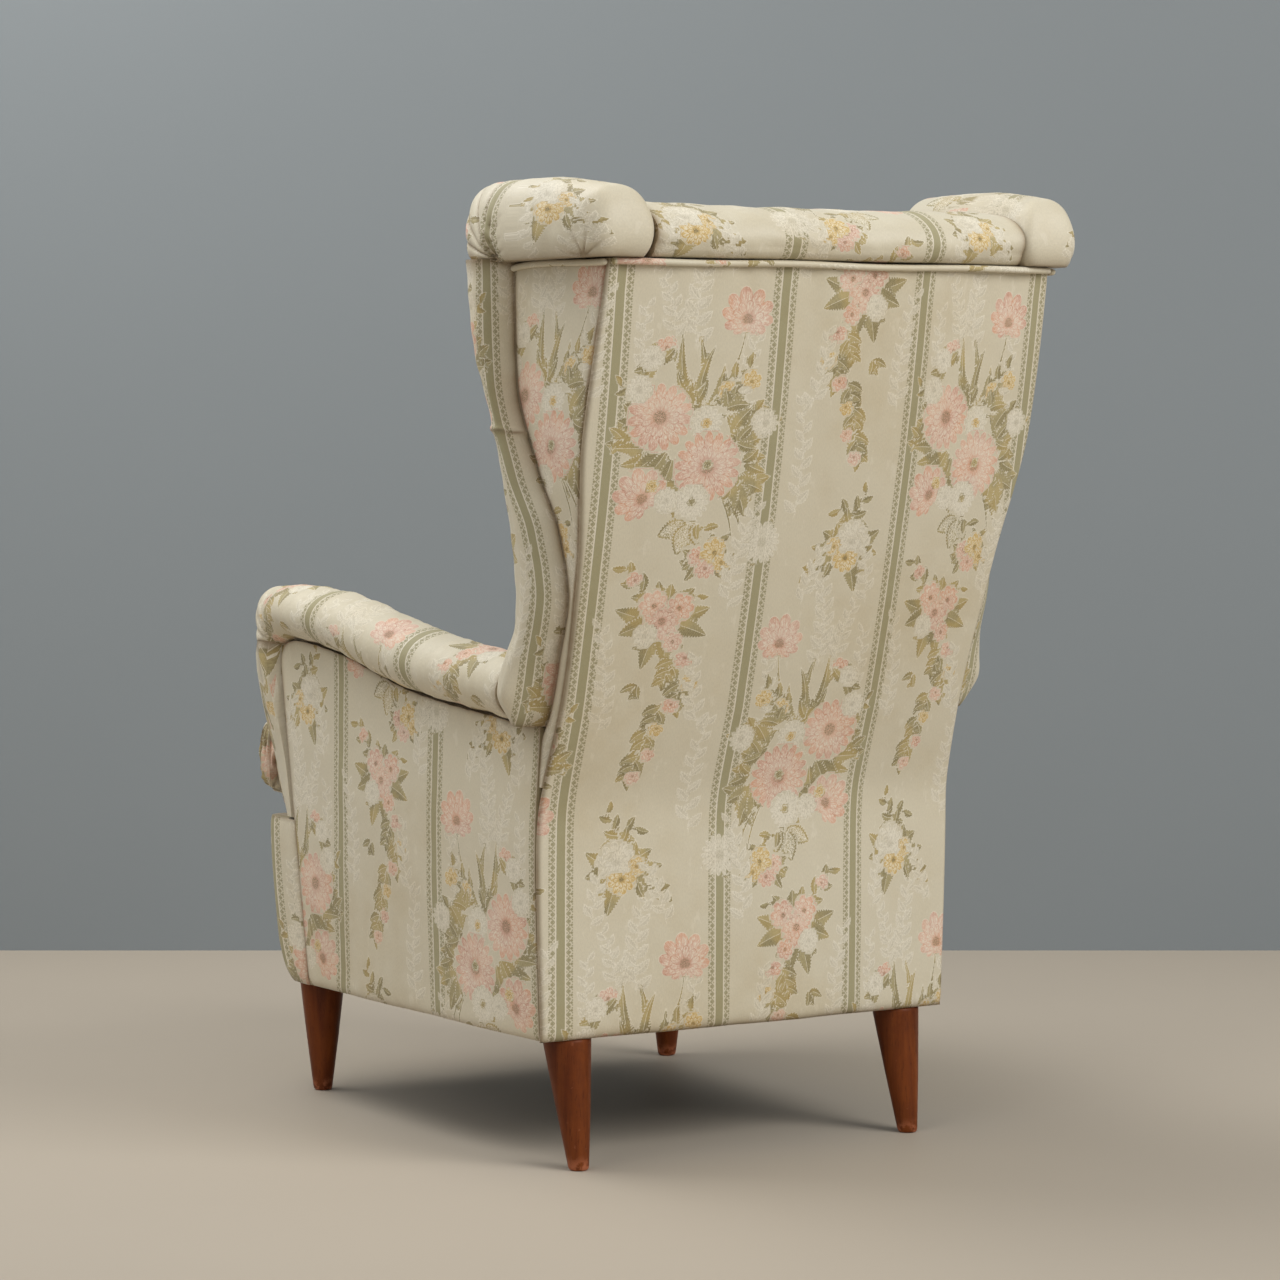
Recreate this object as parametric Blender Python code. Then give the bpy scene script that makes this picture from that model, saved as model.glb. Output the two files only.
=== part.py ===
# Wing armchair in an old, loosened brocade cover.
# Metres, +Z up. The sitter faces -Y, +X is the sitter's left, and the floor is z = 0.
# The outlines are drawn with y = 0 at the rear lower edge of the body; ROOT_SHIFT then
# carries the whole chair so that its bounding box stands centred on the origin.
import math

import bmesh
import bpy
import numpy as np

# Clearance between neighbouring pieces, and how far the parts of one piece lap into each other
GAP = 0.0003
LAP = 0.0006

# Heights of the body above the floor
REAR_CLEAR = 0.144
FRONT_CLEAR = 0.1365
DECK_Z = 0.333
BACK_TOP_Z = 0.985

# Outer back: upright to the bend, then raked and slightly bowed
BEND_Z = 0.40
BACK_RAKE = 0.395
BACK_BOW = 0.158
BACK_COVER = 0.006
COVER_EDGE = 0.002
COVER_CROWN = 0.001

# Frame of beech: plane of the sides and sizes of the members
FRAME_HALF_REAR = 0.252
FRAME_HALF_FRONT = 0.277
FRAME_FRONT_Y = -0.600
FRAME_T = 0.020
FRAME_FLARE = 0.060
FLARE_Z = 0.570
RAIL_TOP_Z = 0.245
CROSS_RAIL_T = 0.025
POST_DEPTH = 0.035
BLOCK_LEG = 0.070
BLOCK_HEIGHT = 0.045
BLOCK_DROP = 0.030
TOP_RAIL_HEIGHT = 0.045
TACK_RAIL_Z = 0.400
TACK_RAIL_HEIGHT = 0.040
ARM_RAIL_REAR_Z = 0.4865
ARM_RAIL_FRONT_Z = 0.568
ARM_RAIL_HEIGHT = 0.035
ARM_RAIL_END_DROP = 0.005
ARM_POST_TOP_Y = FRAME_FRONT_Y - 0.028
ARM_POST_LEAN = 0.170
WING_BOARD_Z0 = 0.600
FRAME_DROP = 0.007
WING_BOARD_DROP = 0.010
WING_BOARD_SET = 0.028

# Rubber webbing
STRAP_T = 0.003
STRAP_W = 0.055
SEAT_STRAP_Y = (-0.495, -0.395, -0.295, -0.195, -0.095)
BACK_STRAP_Z = (0.470, 0.580, 0.690, 0.800, 0.895)
STRAP_SET = 0.001
STRAP_INSET = 0.008

# Black lining under the seat
UNDER_COVER_T = 0.0015
UNDER_COVER_INSET = 0.001

# Legs, tapered and turned, and the bolts that hold them
LEG_TOP_R = 0.027
LEG_FOOT_R = 0.0115
FOOT_EDGE = 0.001
REAR_LEG = (FRAME_HALF_REAR - 0.035, -0.029)
FRONT_LEG = (FRAME_HALF_FRONT - 0.0325, FRAME_FRONT_Y + 0.011)
REAR_LEG_RAKE = 0.027
BOLT_R = 0.004
BOLT_GRIP = 0.045
BOLT_ROOM = 0.004
LEG_SIDES = 20

# Padding of the sides and of the back
INNER_PAD = 0.015
ROLL_OVER = 0.020
ROLL_TOP_Z = BACK_TOP_Z + 0.061
ROLL_WAIST_Z = BACK_TOP_Z + 0.020
ROLL_CROWN = 0.004
BACK_CROWN = 0.012
BACK_SIDE_EASE = 0.004
WING_ROLL_BULGE = 0.036
WING_TOP_Z = BACK_TOP_Z + 0.0875
CROWN_SET = 0.003
CROWN_INSET = 0.050
CROWN_FOOT = 0.030
CROWN_SPREAD_Z = 0.012
CROWN_RINGS = ((0.0, 0.0), (0.14, 0.0015), (0.34, 0.0015), (0.56, 0.001), (0.76, 0), (0.90, 0), (0.975, 0))
ARM_END_Y = -0.0462
ARM_FRONT_PAD = 0.022
ARM_FRONT_SWELL = 0.024
ARM_ROLL_SHIFT = 0.004
ARM_INNER_DROP = 0.048
ARM_FACE_SWELL = ((0.127, 0.003), (0.067, 0.002))
ARM_LEAN_Y = -0.450
ARM_LEAN_RUN = 0.110

# Outer arm panel
SIDE_REAR_EASE = 0.001
SIDE_FRONT_FULL = 0.008
SIDE_FRONT_TOP_Y = FRAME_FRONT_Y - 0.019
SIDE_FRONT_TOP_Z = 0.543
SIDE_FRONT_FOOT_Y = FRAME_FRONT_Y + 0.055

# Seat cushion, T-shaped, with gathered ears in front of the arms
CUSHION_FRONT_Y = FRAME_FRONT_Y - 0.1155
CUSHION_EAR_DEPTH = 0.047
CUSHION_TOP_Z = 0.474
CUSHION_EASE = 0.004
CUSHION_ROUND = 0.018
CUSHION_RINGS = ((0.110, -1.0), (0.050, -0.96), (0.018, -0.80), (0.004, -0.55), (0.0, -0.2), (0.0, 0.2),
                 (0.004, 0.50), (0.018, 0.72), (0.050, 0.88), (0.110, 1.0))
CUSHION_SPAN = 0.220
EAR_FOLDS = 7
GATHER = 0.0025

# Front apron below the cushion
APRON_CORNER_R = 0.030

# Piping along the top of the outer covers
WELT_R = 0.0035

# Fullness of the outer covers over the frame's half width, as (height, value) pairs read by smooth()
BACK_FULL = ((0.144, 0.011), (0.350, 0.016), (0.520, 0.008), (0.660, 0.016), (0.810, 0.033), (0.985, 0.028))
WING_SEAM_FULL = ((0.400, 0.0140), (0.520, 0.0090), (0.640, 0.0160), (0.760, 0.0310), (0.860, 0.0370),
                  (0.985, 0.0370))
WING_ROLL_FULL = ((0.487, 0.038), (0.525, 0.060), (0.600, 0.048), (0.700, 0.055), (0.800, 0.065),
                  (0.900, 0.071), (1.020, 0.071))

# Where the seams and the padding lie from front to back, as (height, y) pairs
WING_SEAM_Y = ((0.400, -0.0066), (0.440, -0.0060), (0.470, -0.0040), (0.500, 0.012), (0.560, 0.035),
               (0.640, 0.065), (0.700, 0.059), (0.760, 0.030), (0.860, -0.008), (0.985, -0.014))
WING_FRONT_Y = ((0.487, -0.0458), (0.560, -0.034), (0.600, -0.022), (0.660, -0.017), (0.753, -0.024),
                (0.828, -0.042), (0.893, -0.068), (1.010, -0.090))
INSIDE_BACK_Y = ((0.333, -0.115), (0.470, -0.115), (0.560, -0.080), (0.660, -0.030), (0.750, 0.008),
                 (0.850, 0.042), (0.950, 0.068))

# Where the arms lie, as (y, height) pairs from rear to front
ARM_SEAM_Z = ((-0.619, 0.543), (-0.570, 0.552), (-0.452, 0.541), (-0.373, 0.524), (-0.296, 0.509),
              (-0.200, 0.499), (-0.100, 0.492), (-0.046, 0.4875), (0.0, 0.4875))
ARM_TOP_Z = ((-0.650, 0.612), (-0.560, 0.618), (-0.474, 0.614), (-0.316, 0.589), (-0.216, 0.574),
             (-0.119, 0.565), (0.0, 0.560))
ARM_BULGE = 0.036

# Heights at which the upright surfaces bend, and the sections along an arm
WING_FOOT_Z = 0.4878
WING_STRIP_Z = BEND_Z + 0.020
LEVELS = tuple(sorted({0.120, 0.190, 0.264, DECK_Z, BEND_Z, WING_STRIP_Z, 0.445, 0.470, WING_FOOT_Z, 0.510,
                       0.535, FLARE_Z, 0.600, 0.640, 0.680, 0.720, 0.760, 0.810, 0.860, 0.920, BACK_TOP_Z,
                       1.020, 1.100}))
ARM_STATIONS = (ARM_END_Y, -0.10, -0.16, -0.24, -0.32, -0.40, -0.46, -0.52, -0.57, -0.61)

# Front of the apron, as (height, y) pairs
APRON_FRONT_Y = ((0.1365, -0.612), (0.160, -0.634), (0.192, -0.650), (0.264, -0.666), (0.333, -0.671))


def smooth(table, value):
    """Smooth curve through the (position, value) pairs of a table, without overshoot, level past its ends."""
    xs, ys = zip(*table)
    steps = np.diff(ys) / np.diff(xs)
    inner = [2 * a * b / (a + b) if a * b > 0 else 0.0 for a, b in zip(steps, steps[1:])]
    slopes = [steps[0]] + inner + [steps[-1]]
    v = min(max(value, xs[0]), xs[-1])
    i = min(int(np.searchsorted(xs, v, side="right")) - 1, len(xs) - 2)
    h = xs[i + 1] - xs[i]
    t = (v - xs[i]) / h
    return float((1 + 2 * t) * (1 - t) ** 2 * ys[i] + t * (1 - t) ** 2 * h * slopes[i]
                 + t * t * (3 - 2 * t) * ys[i + 1] + t * t * (t - 1) * h * slopes[i + 1])


def faceted(curve, z):
    """The curve's value on straight runs between LEVELS, so that pieces beside each other keep their gap."""
    return float(np.interp(z, LEVELS, [curve(level) for level in LEVELS]))


def levels(low, high):
    """The heights of a loft between two heights: both ends and every level between them."""
    return [low] + [z for z in LEVELS if low + 1e-6 < z < high - 1e-6] + [high]


def under_z(y):
    """Underside of the body, sloping down to the front."""
    return REAR_CLEAR + (REAR_CLEAR - FRONT_CLEAR) * y / -FRAME_FRONT_Y


def back_curve(z):
    t = max(z - BEND_Z, 0.0)
    return BACK_RAKE * t - BACK_BOW * t * t


def back_y(z):
    """Rear face of the outer back."""
    return faceted(back_curve, z)


def half_width(z):
    """Outer edge of the outer back."""
    return FRAME_HALF_REAR + faceted(lambda v: smooth(BACK_FULL, v), z)


def wing_seam_y(z):
    return faceted(lambda v: smooth(WING_SEAM_Y, v), z)


def wing_seam_x(z):
    return FRAME_HALF_REAR + faceted(lambda v: smooth(WING_SEAM_FULL, v), z)


def wing_front_y(z):
    return faceted(lambda v: smooth(WING_FRONT_Y, v), z)


def wing_out_x(z):
    """Outermost line of a wing's front roll."""
    return FRAME_HALF_REAR + faceted(lambda v: smooth(WING_ROLL_FULL, v), z)


def side_x(y, z):
    """Outer face of the side panel: the chair grows wider toward the front."""
    f = min(max(y / FRAME_FRONT_Y, 0.0), 1.0)
    return half_width(z) + (SIDE_FRONT_X - half_width(z)) * f


def frame_x(y, z):
    """Outer face of the side frame, flaring above the arms."""
    f = y / FRAME_FRONT_Y
    return FRAME_HALF_REAR + (FRAME_HALF_FRONT - FRAME_HALF_REAR) * f + FRAME_FLARE * max(z - FLARE_Z, 0.0)


def inner_x(y, z):
    """Padded inner face of an arm or a wing."""
    return frame_x(y, z) - FRAME_T - INNER_PAD


def post_rear(z):
    return back_y(z) - BACK_COVER - GAP


def post_front(z):
    return post_rear(z) - POST_DEPTH


def pad_rear(z):
    """Plane behind the padding of back and sides, in front of the posts."""
    return post_front(z) - GAP


def arm_rail_top(y):
    f = (ARM_END_Y - y) / (ARM_END_Y - ARM_POST_TOP_Y)
    return ARM_RAIL_REAR_Z + (ARM_RAIL_FRONT_Z - ARM_RAIL_REAR_Z) * f


def arm_post_front(z):
    return ARM_POST_TOP_Y + ARM_POST_LEAN * (ARM_RAIL_FRONT_Z - z)


SIDE_FRONT_X = FRAME_HALF_FRONT + SIDE_FRONT_FULL
REAR_REACH = back_y(BACK_TOP_Z) + ROLL_OVER
ROOT_SHIFT = -(CUSHION_FRONT_Y + REAR_REACH) / 2


def clear_scene():
    for thing in list(bpy.data.objects):
        bpy.data.objects.remove(thing, do_unlink=True)


def material(name, colour, roughness):
    made = bpy.data.materials.new(name)
    made.use_nodes = True
    shader = made.node_tree.nodes["Principled BSDF"]
    shader.inputs["Base Color"].default_value = (*colour, 1.0)
    shader.inputs["Roughness"].default_value = roughness
    shader.inputs["Metallic"].default_value = 0.0
    return made


def steel(name):
    made = material(name, (0.45, 0.44, 0.42), 0.4)
    made.node_tree.nodes["Principled BSDF"].inputs["Metallic"].default_value = 1.0
    return made


def place(name, bm, look, round_piece=False):
    """Turns a bmesh into a named object under the chair's root."""
    bmesh.ops.recalc_face_normals(bm, faces=bm.faces)
    mesh = bpy.data.meshes.new(name)
    bm.to_mesh(mesh)
    bm.free()
    mesh.materials.append(look)
    if round_piece:
        mesh.shade_smooth()
        mesh.set_sharp_from_angle(angle=math.radians(40))
    made = bpy.data.objects.new(name, mesh)
    bpy.context.scene.collection.objects.link(made)
    made.parent = bpy.data.objects["chair_root"]
    return made


def loft(name, rings, look, round_piece=True):
    """Closed solid through rings of equally many points, its two ends closed by fans."""
    bm = bmesh.new()
    rows = [[bm.verts.new(p) for p in ring] for ring in rings]
    n = len(rows[0])
    for low, high in zip(rows, rows[1:]):
        for i in range(n):
            j = (i + 1) % n
            bm.faces.new((low[i], low[j], high[j], high[i]))
    bmesh.ops.holes_fill(bm, edges=[e for e in bm.edges if e.is_boundary], sides=0)
    bmesh.ops.triangulate(bm, faces=[f for f in bm.faces if len(f.verts) > 4])
    return place(name, bm, look, round_piece)


def prism(name, corners, rise, look):
    """Solid extruded from a flat outline along a vector."""
    bm = bmesh.new()
    face = bm.faces.new([bm.verts.new(p) for p in corners])
    grown = bmesh.ops.extrude_face_region(bm, geom=[face])["geom"]
    moved = [v for v in grown if isinstance(v, bmesh.types.BMVert)]
    bmesh.ops.translate(bm, verts=moved, vec=rise)
    return place(name, bm, look)


def cylinder(name, x, y, z0, z1, radius, look, sides=12):
    bm = bmesh.new()
    bmesh.ops.create_cone(bm, cap_ends=True, segments=sides, radius1=radius, radius2=radius, depth=z1 - z0)
    bmesh.ops.translate(bm, verts=bm.verts, vec=(x, y, (z0 + z1) / 2))
    return place(name, bm, look, True)


def boolean(target, operand, operation):
    """Adds the operand to the target, or cuts it away, and hides the operand."""
    change = target.modifiers.new(operation.lower(), "BOOLEAN")
    change.operation = operation
    change.object = operand
    operand.hide_render = True
    operand.display_type = "WIRE"


def flip(ring, side):
    """The same ring on the sitter's left (+1) or right (-1)."""
    return [(side * x, y, z) for x, y, z in ring]


def side_name(side):
    return "left" if side > 0 else "right"


# Legs

def leg(name, x, y, rake, look):
    """Tapered leg with level foot and top, leaning by rake, and a blind hole for its bolt."""
    top = under_z(y - LEG_TOP_R) - GAP

    def ring(z, radius):
        centre = y + rake * (1 - z / top)
        turn = [2 * math.pi * i / LEG_SIDES for i in range(LEG_SIDES)]
        return [(x + radius * math.cos(a), centre + radius * math.sin(a), z) for a in turn]

    def hole(z):
        turn = [2 * math.pi * i / LEG_SIDES for i in range(LEG_SIDES)]
        return [(x + (BOLT_R + GAP) * math.cos(a), y + (BOLT_R + GAP) * math.sin(a), z) for a in turn]

    body = [ring(0.0, LEG_FOOT_R - FOOT_EDGE), ring(FOOT_EDGE, LEG_FOOT_R),
            ring(top * 0.5, (LEG_FOOT_R + LEG_TOP_R) / 2), ring(top, LEG_TOP_R),
            hole(top), hole(top - BOLT_GRIP - GAP)]
    return loft(name, body, look)


def leg_bolt(name, x, y, look):
    top = under_z(y - LEG_TOP_R) - GAP
    return cylinder(name, x, y, top - BOLT_GRIP, top + BOLT_GRIP, BOLT_R, look)


def bolt_hole(target, x, y):
    """Cuts the way for a leg's bolt through a frame member or the under-cover."""
    look = target.data.materials[0]
    top = under_z(y - LEG_TOP_R)
    cutter = cylinder(target.name + "_hole_" + side_name(x), x, y, top - BOLT_ROOM,
                      top + BOLT_GRIP + BOLT_ROOM, BOLT_R + GAP, look)
    boolean(target, cutter, "DIFFERENCE")


def make_legs(wood, metal):
    for side in (1, -1):
        for row, (x, y), rake in (("front", FRONT_LEG, 0.0), ("rear", REAR_LEG, REAR_LEG_RAKE)):
            leg(f"leg_{row}_{side_name(side)}", side * x, y, rake, wood)
            leg_bolt(f"leg_bolt_{row}_{side_name(side)}", side * x, y, metal)


# Beech frame

def side_ring(y0, y1, z, side, z_of=None):
    """Four corners of a side member's section between two y values."""
    z0, z1 = (z, z) if z_of is None else (z_of(y0), z_of(y1))
    return flip([(frame_x(y0, z0), y0, z0), (frame_x(y1, z1), y1, z1),
                 (frame_x(y1, z1) - FRAME_T, y1, z1), (frame_x(y0, z0) - FRAME_T, y0, z0)], side)


def rail_under(y):
    return under_z(y) + UNDER_COVER_T + GAP


def make_seat_frame(wood):
    rear = post_front(RAIL_TOP_Z)
    for side in (1, -1):
        low = side_ring(FRAME_FRONT_Y, rear - GAP, 0, side, rail_under)
        high = side_ring(FRAME_FRONT_Y, rear - GAP, RAIL_TOP_Z, side)
        loft(f"seat_rail_{side_name(side)}", [low, high], wood, False)
        post = [side_ring(post_front(z), post_rear(z), z, side)
                for z in levels(rail_under(0.0), BACK_TOP_Z - FRAME_DROP)]
        loft(f"back_post_{side_name(side)}", post, wood, False)

    def cross_rail(name, y0, y1, z0, z1):
        def ring(z):
            x0, x1 = (frame_x(y, 0) - FRAME_T - GAP for y in (y0, y1))
            return [(-x0, y0, z), (x0, y0, z), (x1, y1, z), (-x1, y1, z)]
        return loft(name, [ring(z0), ring(z1)], wood, False)

    front = cross_rail("seat_rail_front", FRAME_FRONT_Y, FRAME_FRONT_Y + CROSS_RAIL_T,
                       rail_under(FRAME_FRONT_Y + CROSS_RAIL_T), RAIL_TOP_Z)
    back = cross_rail("seat_rail_back", rear, post_rear(RAIL_TOP_Z), rail_under(0.0), RAIL_TOP_Z)
    for side in (1, -1):
        bolt_hole(front, side * FRONT_LEG[0], FRONT_LEG[1])
        bolt_hole(back, side * REAR_LEG[0], REAR_LEG[1])


def make_corner_blocks(wood):
    """Glued triangular blocks inside the four corners of the seat frame."""
    rear = post_front(RAIL_TOP_Z) - GAP
    front = FRAME_FRONT_Y + CROSS_RAIL_T + GAP
    for side in (1, -1):
        for row, y, inward in (("rear", rear, -1), ("front", front, 1)):
            far = y + inward * BLOCK_LEG
            x0, x1 = (frame_x(v, 0) - FRAME_T - GAP for v in (y, far))
            top = RAIL_TOP_Z - BLOCK_DROP
            foot = top - BLOCK_HEIGHT
            low = [(x0, y, foot), (x0 - BLOCK_LEG, y, foot), (x1, far, foot)]
            prism(f"corner_block_{row}_{side_name(side)}", flip(low, side), (0, 0, BLOCK_HEIGHT), wood)


def make_back_rails(wood):
    for name, top, height in (("back_rail_top", BACK_TOP_Z - FRAME_DROP, TOP_RAIL_HEIGHT),
                              ("back_rail_lower", TACK_RAIL_Z, TACK_RAIL_HEIGHT)):
        rings = []
        for z in levels(top - height, top):
            y0, y1 = post_front(z), post_rear(z)
            x0, x1 = (frame_x(y, z) - FRAME_T - GAP for y in (y0, y1))
            rings.append([(-x0, y0, z), (x0, y0, z), (x1, y1, z), (-x1, y1, z)])
        loft(name, rings, wood, False)


def make_arm_frame(wood):
    for side in (1, -1):
        foot = RAIL_TOP_Z + GAP

        def post_top(y):
            return arm_rail_top(y) - ARM_RAIL_HEIGHT - GAP

        def rail_under_side(y):
            return arm_rail_top(y) - ARM_RAIL_HEIGHT

        low_y = arm_post_front(foot)
        high_y = arm_post_front(post_top(ARM_POST_TOP_Y))
        low = side_ring(low_y, low_y + POST_DEPTH, foot, side)
        high = side_ring(high_y, high_y + POST_DEPTH, 0, side, post_top)
        loft(f"arm_post_{side_name(side)}", [low, high], wood, False)
        back = post_front(ARM_RAIL_REAR_Z - ARM_RAIL_HEIGHT - ARM_RAIL_END_DROP) - GAP
        front_low = arm_post_front(rail_under_side(ARM_POST_TOP_Y))
        front_high = arm_post_front(arm_rail_top(ARM_POST_TOP_Y))
        rings = [side_ring(front_low, back, 0, side, rail_under_side),
                 side_ring(front_high, back, 0, side, arm_rail_top)]
        loft(f"arm_rail_{side_name(side)}", rings, wood, False)


def wing_board_front(z):
    return wing_front_y(z) + WING_BOARD_SET


def make_wing_boards(wood):
    top = BACK_TOP_Z - WING_BOARD_DROP
    for side in (1, -1):
        rings = [side_ring(wing_board_front(z), post_front(z) - GAP, z, side)
                 for z in levels(WING_BOARD_Z0, top)]
        loft(f"wing_board_{side_name(side)}", rings, wood, False)


# Webbing

def make_straps(rubber):
    for i, y in enumerate(SEAT_STRAP_Y):
        x0, x1 = (frame_x(v, 0) - STRAP_INSET for v in (y - STRAP_W / 2, y + STRAP_W / 2))
        z = RAIL_TOP_Z + GAP
        near, far = y - STRAP_W / 2, y + STRAP_W / 2
        low = [(-x0, near, z), (x0, near, z), (x1, far, z), (-x1, far, z)]
        prism(f"seat_strap_{i + 1}", low, (0, 0, STRAP_T), rubber)
    for i, middle in enumerate(BACK_STRAP_Z):
        rings = []
        for z in levels(middle - STRAP_W / 2, middle + STRAP_W / 2):
            y = post_front(z) + STRAP_SET
            x0, x1 = (frame_x(v, z) - FRAME_T - GAP for v in (y, y + STRAP_T))
            rings.append([(-x0, y, z), (x0, y, z), (x1, y + STRAP_T, z), (-x1, y + STRAP_T, z)])
        loft(f"back_strap_{i + 1}", rings, rubber, False)


# Outer covers

def make_outer_back(cloth):
    rings = []
    for z in levels(under_z(0.0), BACK_TOP_Z):
        x, y = half_width(z), back_y(z)
        rings.append([(-x, y - BACK_COVER, z), (x, y - BACK_COVER, z), (x, y - COVER_EDGE, z),
                      (x - COVER_EDGE, y, z), (0, y + COVER_CROWN, z), (-x + COVER_EDGE, y, z),
                      (-x, y - COVER_EDGE, z)])
    loft("outer_back_cover", rings, cloth)


def make_outer_wings(cloth):
    """Flat panel behind each wing's front seam; it narrows to a strip beside the arm."""
    for side in (1, -1):
        rings = []
        for z in levels(WING_STRIP_Z + GAP, BACK_TOP_Z):
            y1 = back_y(z) - BACK_COVER - GAP
            y0 = min(wing_seam_y(z), y1 - 2 * COVER_EDGE)
            x0 = wing_seam_x(z)
            x1 = half_width(z)
            rings.append(flip([(frame_x(y0, z) + GAP, y0, z), (x0, y0, z),
                               ((x0 + x1) / 2 + COVER_CROWN, (y0 + y1) / 2, z), (x1, y1, z),
                               (frame_x(y1, z) + GAP, y1, z)], side))
        loft(f"outer_wing_cover_{side_name(side)}", rings, cloth)


def side_front_y(z):
    """Leaning front edge of the outer arm panel."""
    f = (z - FRONT_CLEAR) / (SIDE_FRONT_TOP_Z - FRONT_CLEAR)
    return SIDE_FRONT_FOOT_Y + (SIDE_FRONT_TOP_Y - SIDE_FRONT_FOOT_Y) * f


def make_outer_arms(cloth):
    rear = -BACK_COVER - GAP - SIDE_REAR_EASE
    stations = (rear,) + ARM_STATIONS + (SIDE_FRONT_TOP_Y,)
    for side in (1, -1):
        rings = []
        for q in stations:
            f = (q - rear) / (SIDE_FRONT_TOP_Y - rear)
            seam = arm_seam(q) - GAP
            top_y = arm_station(q, seam)
            low_y = rear + (SIDE_FRONT_FOOT_Y - rear) * f
            ring = [(frame_x(low_y, 0) + GAP, low_y, under_z(low_y))]
            for g in (0.0, 0.35, 0.7, 1.0):
                y = low_y + (top_y - low_y) * g
                z = under_z(low_y) + (seam - under_z(low_y)) * g
                ring.append((side_x(y, z), y, z))
            ring.append((frame_x(top_y, 0) + GAP, top_y, seam))
            rings.append(flip(ring, side))
        loft(f"outer_arm_cover_{side_name(side)}", rings, cloth)


def make_under_cover(cloth):
    y0, y1 = FRAME_FRONT_Y, post_rear(RAIL_TOP_Z)
    corners = []
    for y, side in ((y0, -1), (y0, 1), (y1, 1), (y1, -1)):
        corners.append((side * (frame_x(y, 0) - UNDER_COVER_INSET), y, under_z(y)))
    cover = prism("under_cover", corners, (0, 0, UNDER_COVER_T), cloth)
    for side in (1, -1):
        bolt_hole(cover, side * FRONT_LEG[0], FRONT_LEG[1])
        cutter = cylinder("under_cover_rear_hole_" + side_name(side), side * REAR_LEG[0], REAR_LEG[1],
                          REAR_CLEAR - 2 * BOLT_ROOM, REAR_CLEAR + 2 * BOLT_ROOM, BOLT_R + GAP, cloth)
        boolean(cover, cutter, "DIFFERENCE")


# Arms

def arm_seam(q):
    return smooth(ARM_SEAM_Z, q)


def arm_station(q, z):
    """y of an arm section at height z: sections lean with the arm's front post."""
    blend = min(max((ARM_LEAN_Y - q) / ARM_LEAN_RUN, 0.0), 1.0)
    return q + blend * ARM_POST_LEAN * (ARM_RAIL_FRONT_Z - z)


def arm_points(q, points, side, swell=0.0):
    """Carries an arm section into space, following the frame's plane where it leans."""
    ring = []
    for x, z in points:
        y = arm_station(q, z)
        belly = math.sin(math.pi * min(max((z - DECK_Z) / (ARM_RAIL_FRONT_Z - DECK_Z), 0.0), 1.0))
        ring.append((x + frame_x(y, 0) - frame_x(q, 0), y - swell * belly, z))
    return flip(ring, side)


def arm_outline(q, shrink=0.0):
    """Outer outline of an arm section, from the outer seam over the roll to the foot of its inner face."""
    seam, top = arm_seam(q), smooth(ARM_TOP_Z, q) - shrink
    middle = frame_x(q, 0) - FRAME_T / 2 + ARM_ROLL_SHIFT
    outer = side_x(q, seam) + ARM_BULGE - shrink
    half = (top - seam) / 2
    points = [(middle + (outer - middle) * math.cos(a), seam + half + half * math.sin(a))
              for a in np.radians(np.linspace(-62, 90, 8))]
    inside = inner_x(q, 0) + shrink
    points += [(middle + (middle - inside) * math.cos(a), top - ARM_INNER_DROP + ARM_INNER_DROP * math.sin(a))
               for a in np.radians(np.linspace(112.5, 180, 4))]
    points += [(inside - swell, DECK_Z + rise) for rise, swell in ARM_FACE_SWELL]
    points.append((inside, DECK_Z + GAP))
    return points


def arm_pad_ring(q, side):
    """Roll and inner face of an arm in one J-shaped section that hugs the frame."""
    seam = arm_seam(q)
    out, into = frame_x(q, 0) + GAP, frame_x(q, 0) - FRAME_T - GAP
    rail = max(arm_rail_top(q) + GAP, seam + 0.002)
    points = [(side_x(q, seam) + 0.001, seam)] + arm_outline(q)
    points += [(into, DECK_Z + GAP), (into, rail), (out, rail), (out, seam)]
    return arm_points(q, points, side)


def arm_front_ring(out, shrink, side, gather):
    """Full section of the stuffed front of an arm at a share of its depth, gathered at the seam's corner."""
    q = ARM_POST_TOP_Y - GAP - ARM_FRONT_PAD * out
    points = arm_outline(q, shrink)
    points = [(x + (gather if i % 2 else -gather), z) if i < 8 else (x, z) for i, (x, z) in enumerate(points)]
    low = DECK_Z + GAP
    side_line = side_x(q, BEND_Z) - shrink * 0.6
    points += [(side_line, low), (side_line, (low + ARM_RAIL_FRONT_Z) / 2 - 0.03)]
    return arm_points(q, points, side, ARM_FRONT_SWELL * out)


def make_arm_pads(cloth):
    face = ARM_POST_TOP_Y - GAP
    for side in (1, -1):
        name = f"arm_pad_{side_name(side)}"
        pad = loft(name, [arm_pad_ring(q, side) for q in ARM_STATIONS + (face - 0.001,)], cloth)
        front = [arm_front_ring(out, shrink, side, gather)
                 for out, shrink, gather in ((0.0, -0.0004, 0.0), (0.45, 0.003, 0.0012), (0.8, 0.010, 0.0012),
                                             (1.0, 0.022, 0.0))]
        boolean(pad, loft(name + "_front", front, cloth), "UNION")


# Wings

def wing_arc(z, count=13):
    """Front roll of a wing in plan: half an ellipse from the outer side to the inner side."""
    front = wing_front_y(z)
    outer = wing_out_x(z)
    depth = min(WING_ROLL_BULGE, pad_rear(z) - front - 0.003)
    inside = inner_x(front + depth, z) + 0.002
    middle, half = (outer + inside) / 2, (outer - inside) / 2
    turn = np.radians(np.linspace(0, 180, count))
    return [(middle + half * math.cos(a), front + depth - depth * math.sin(a)) for a in turn]


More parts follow.
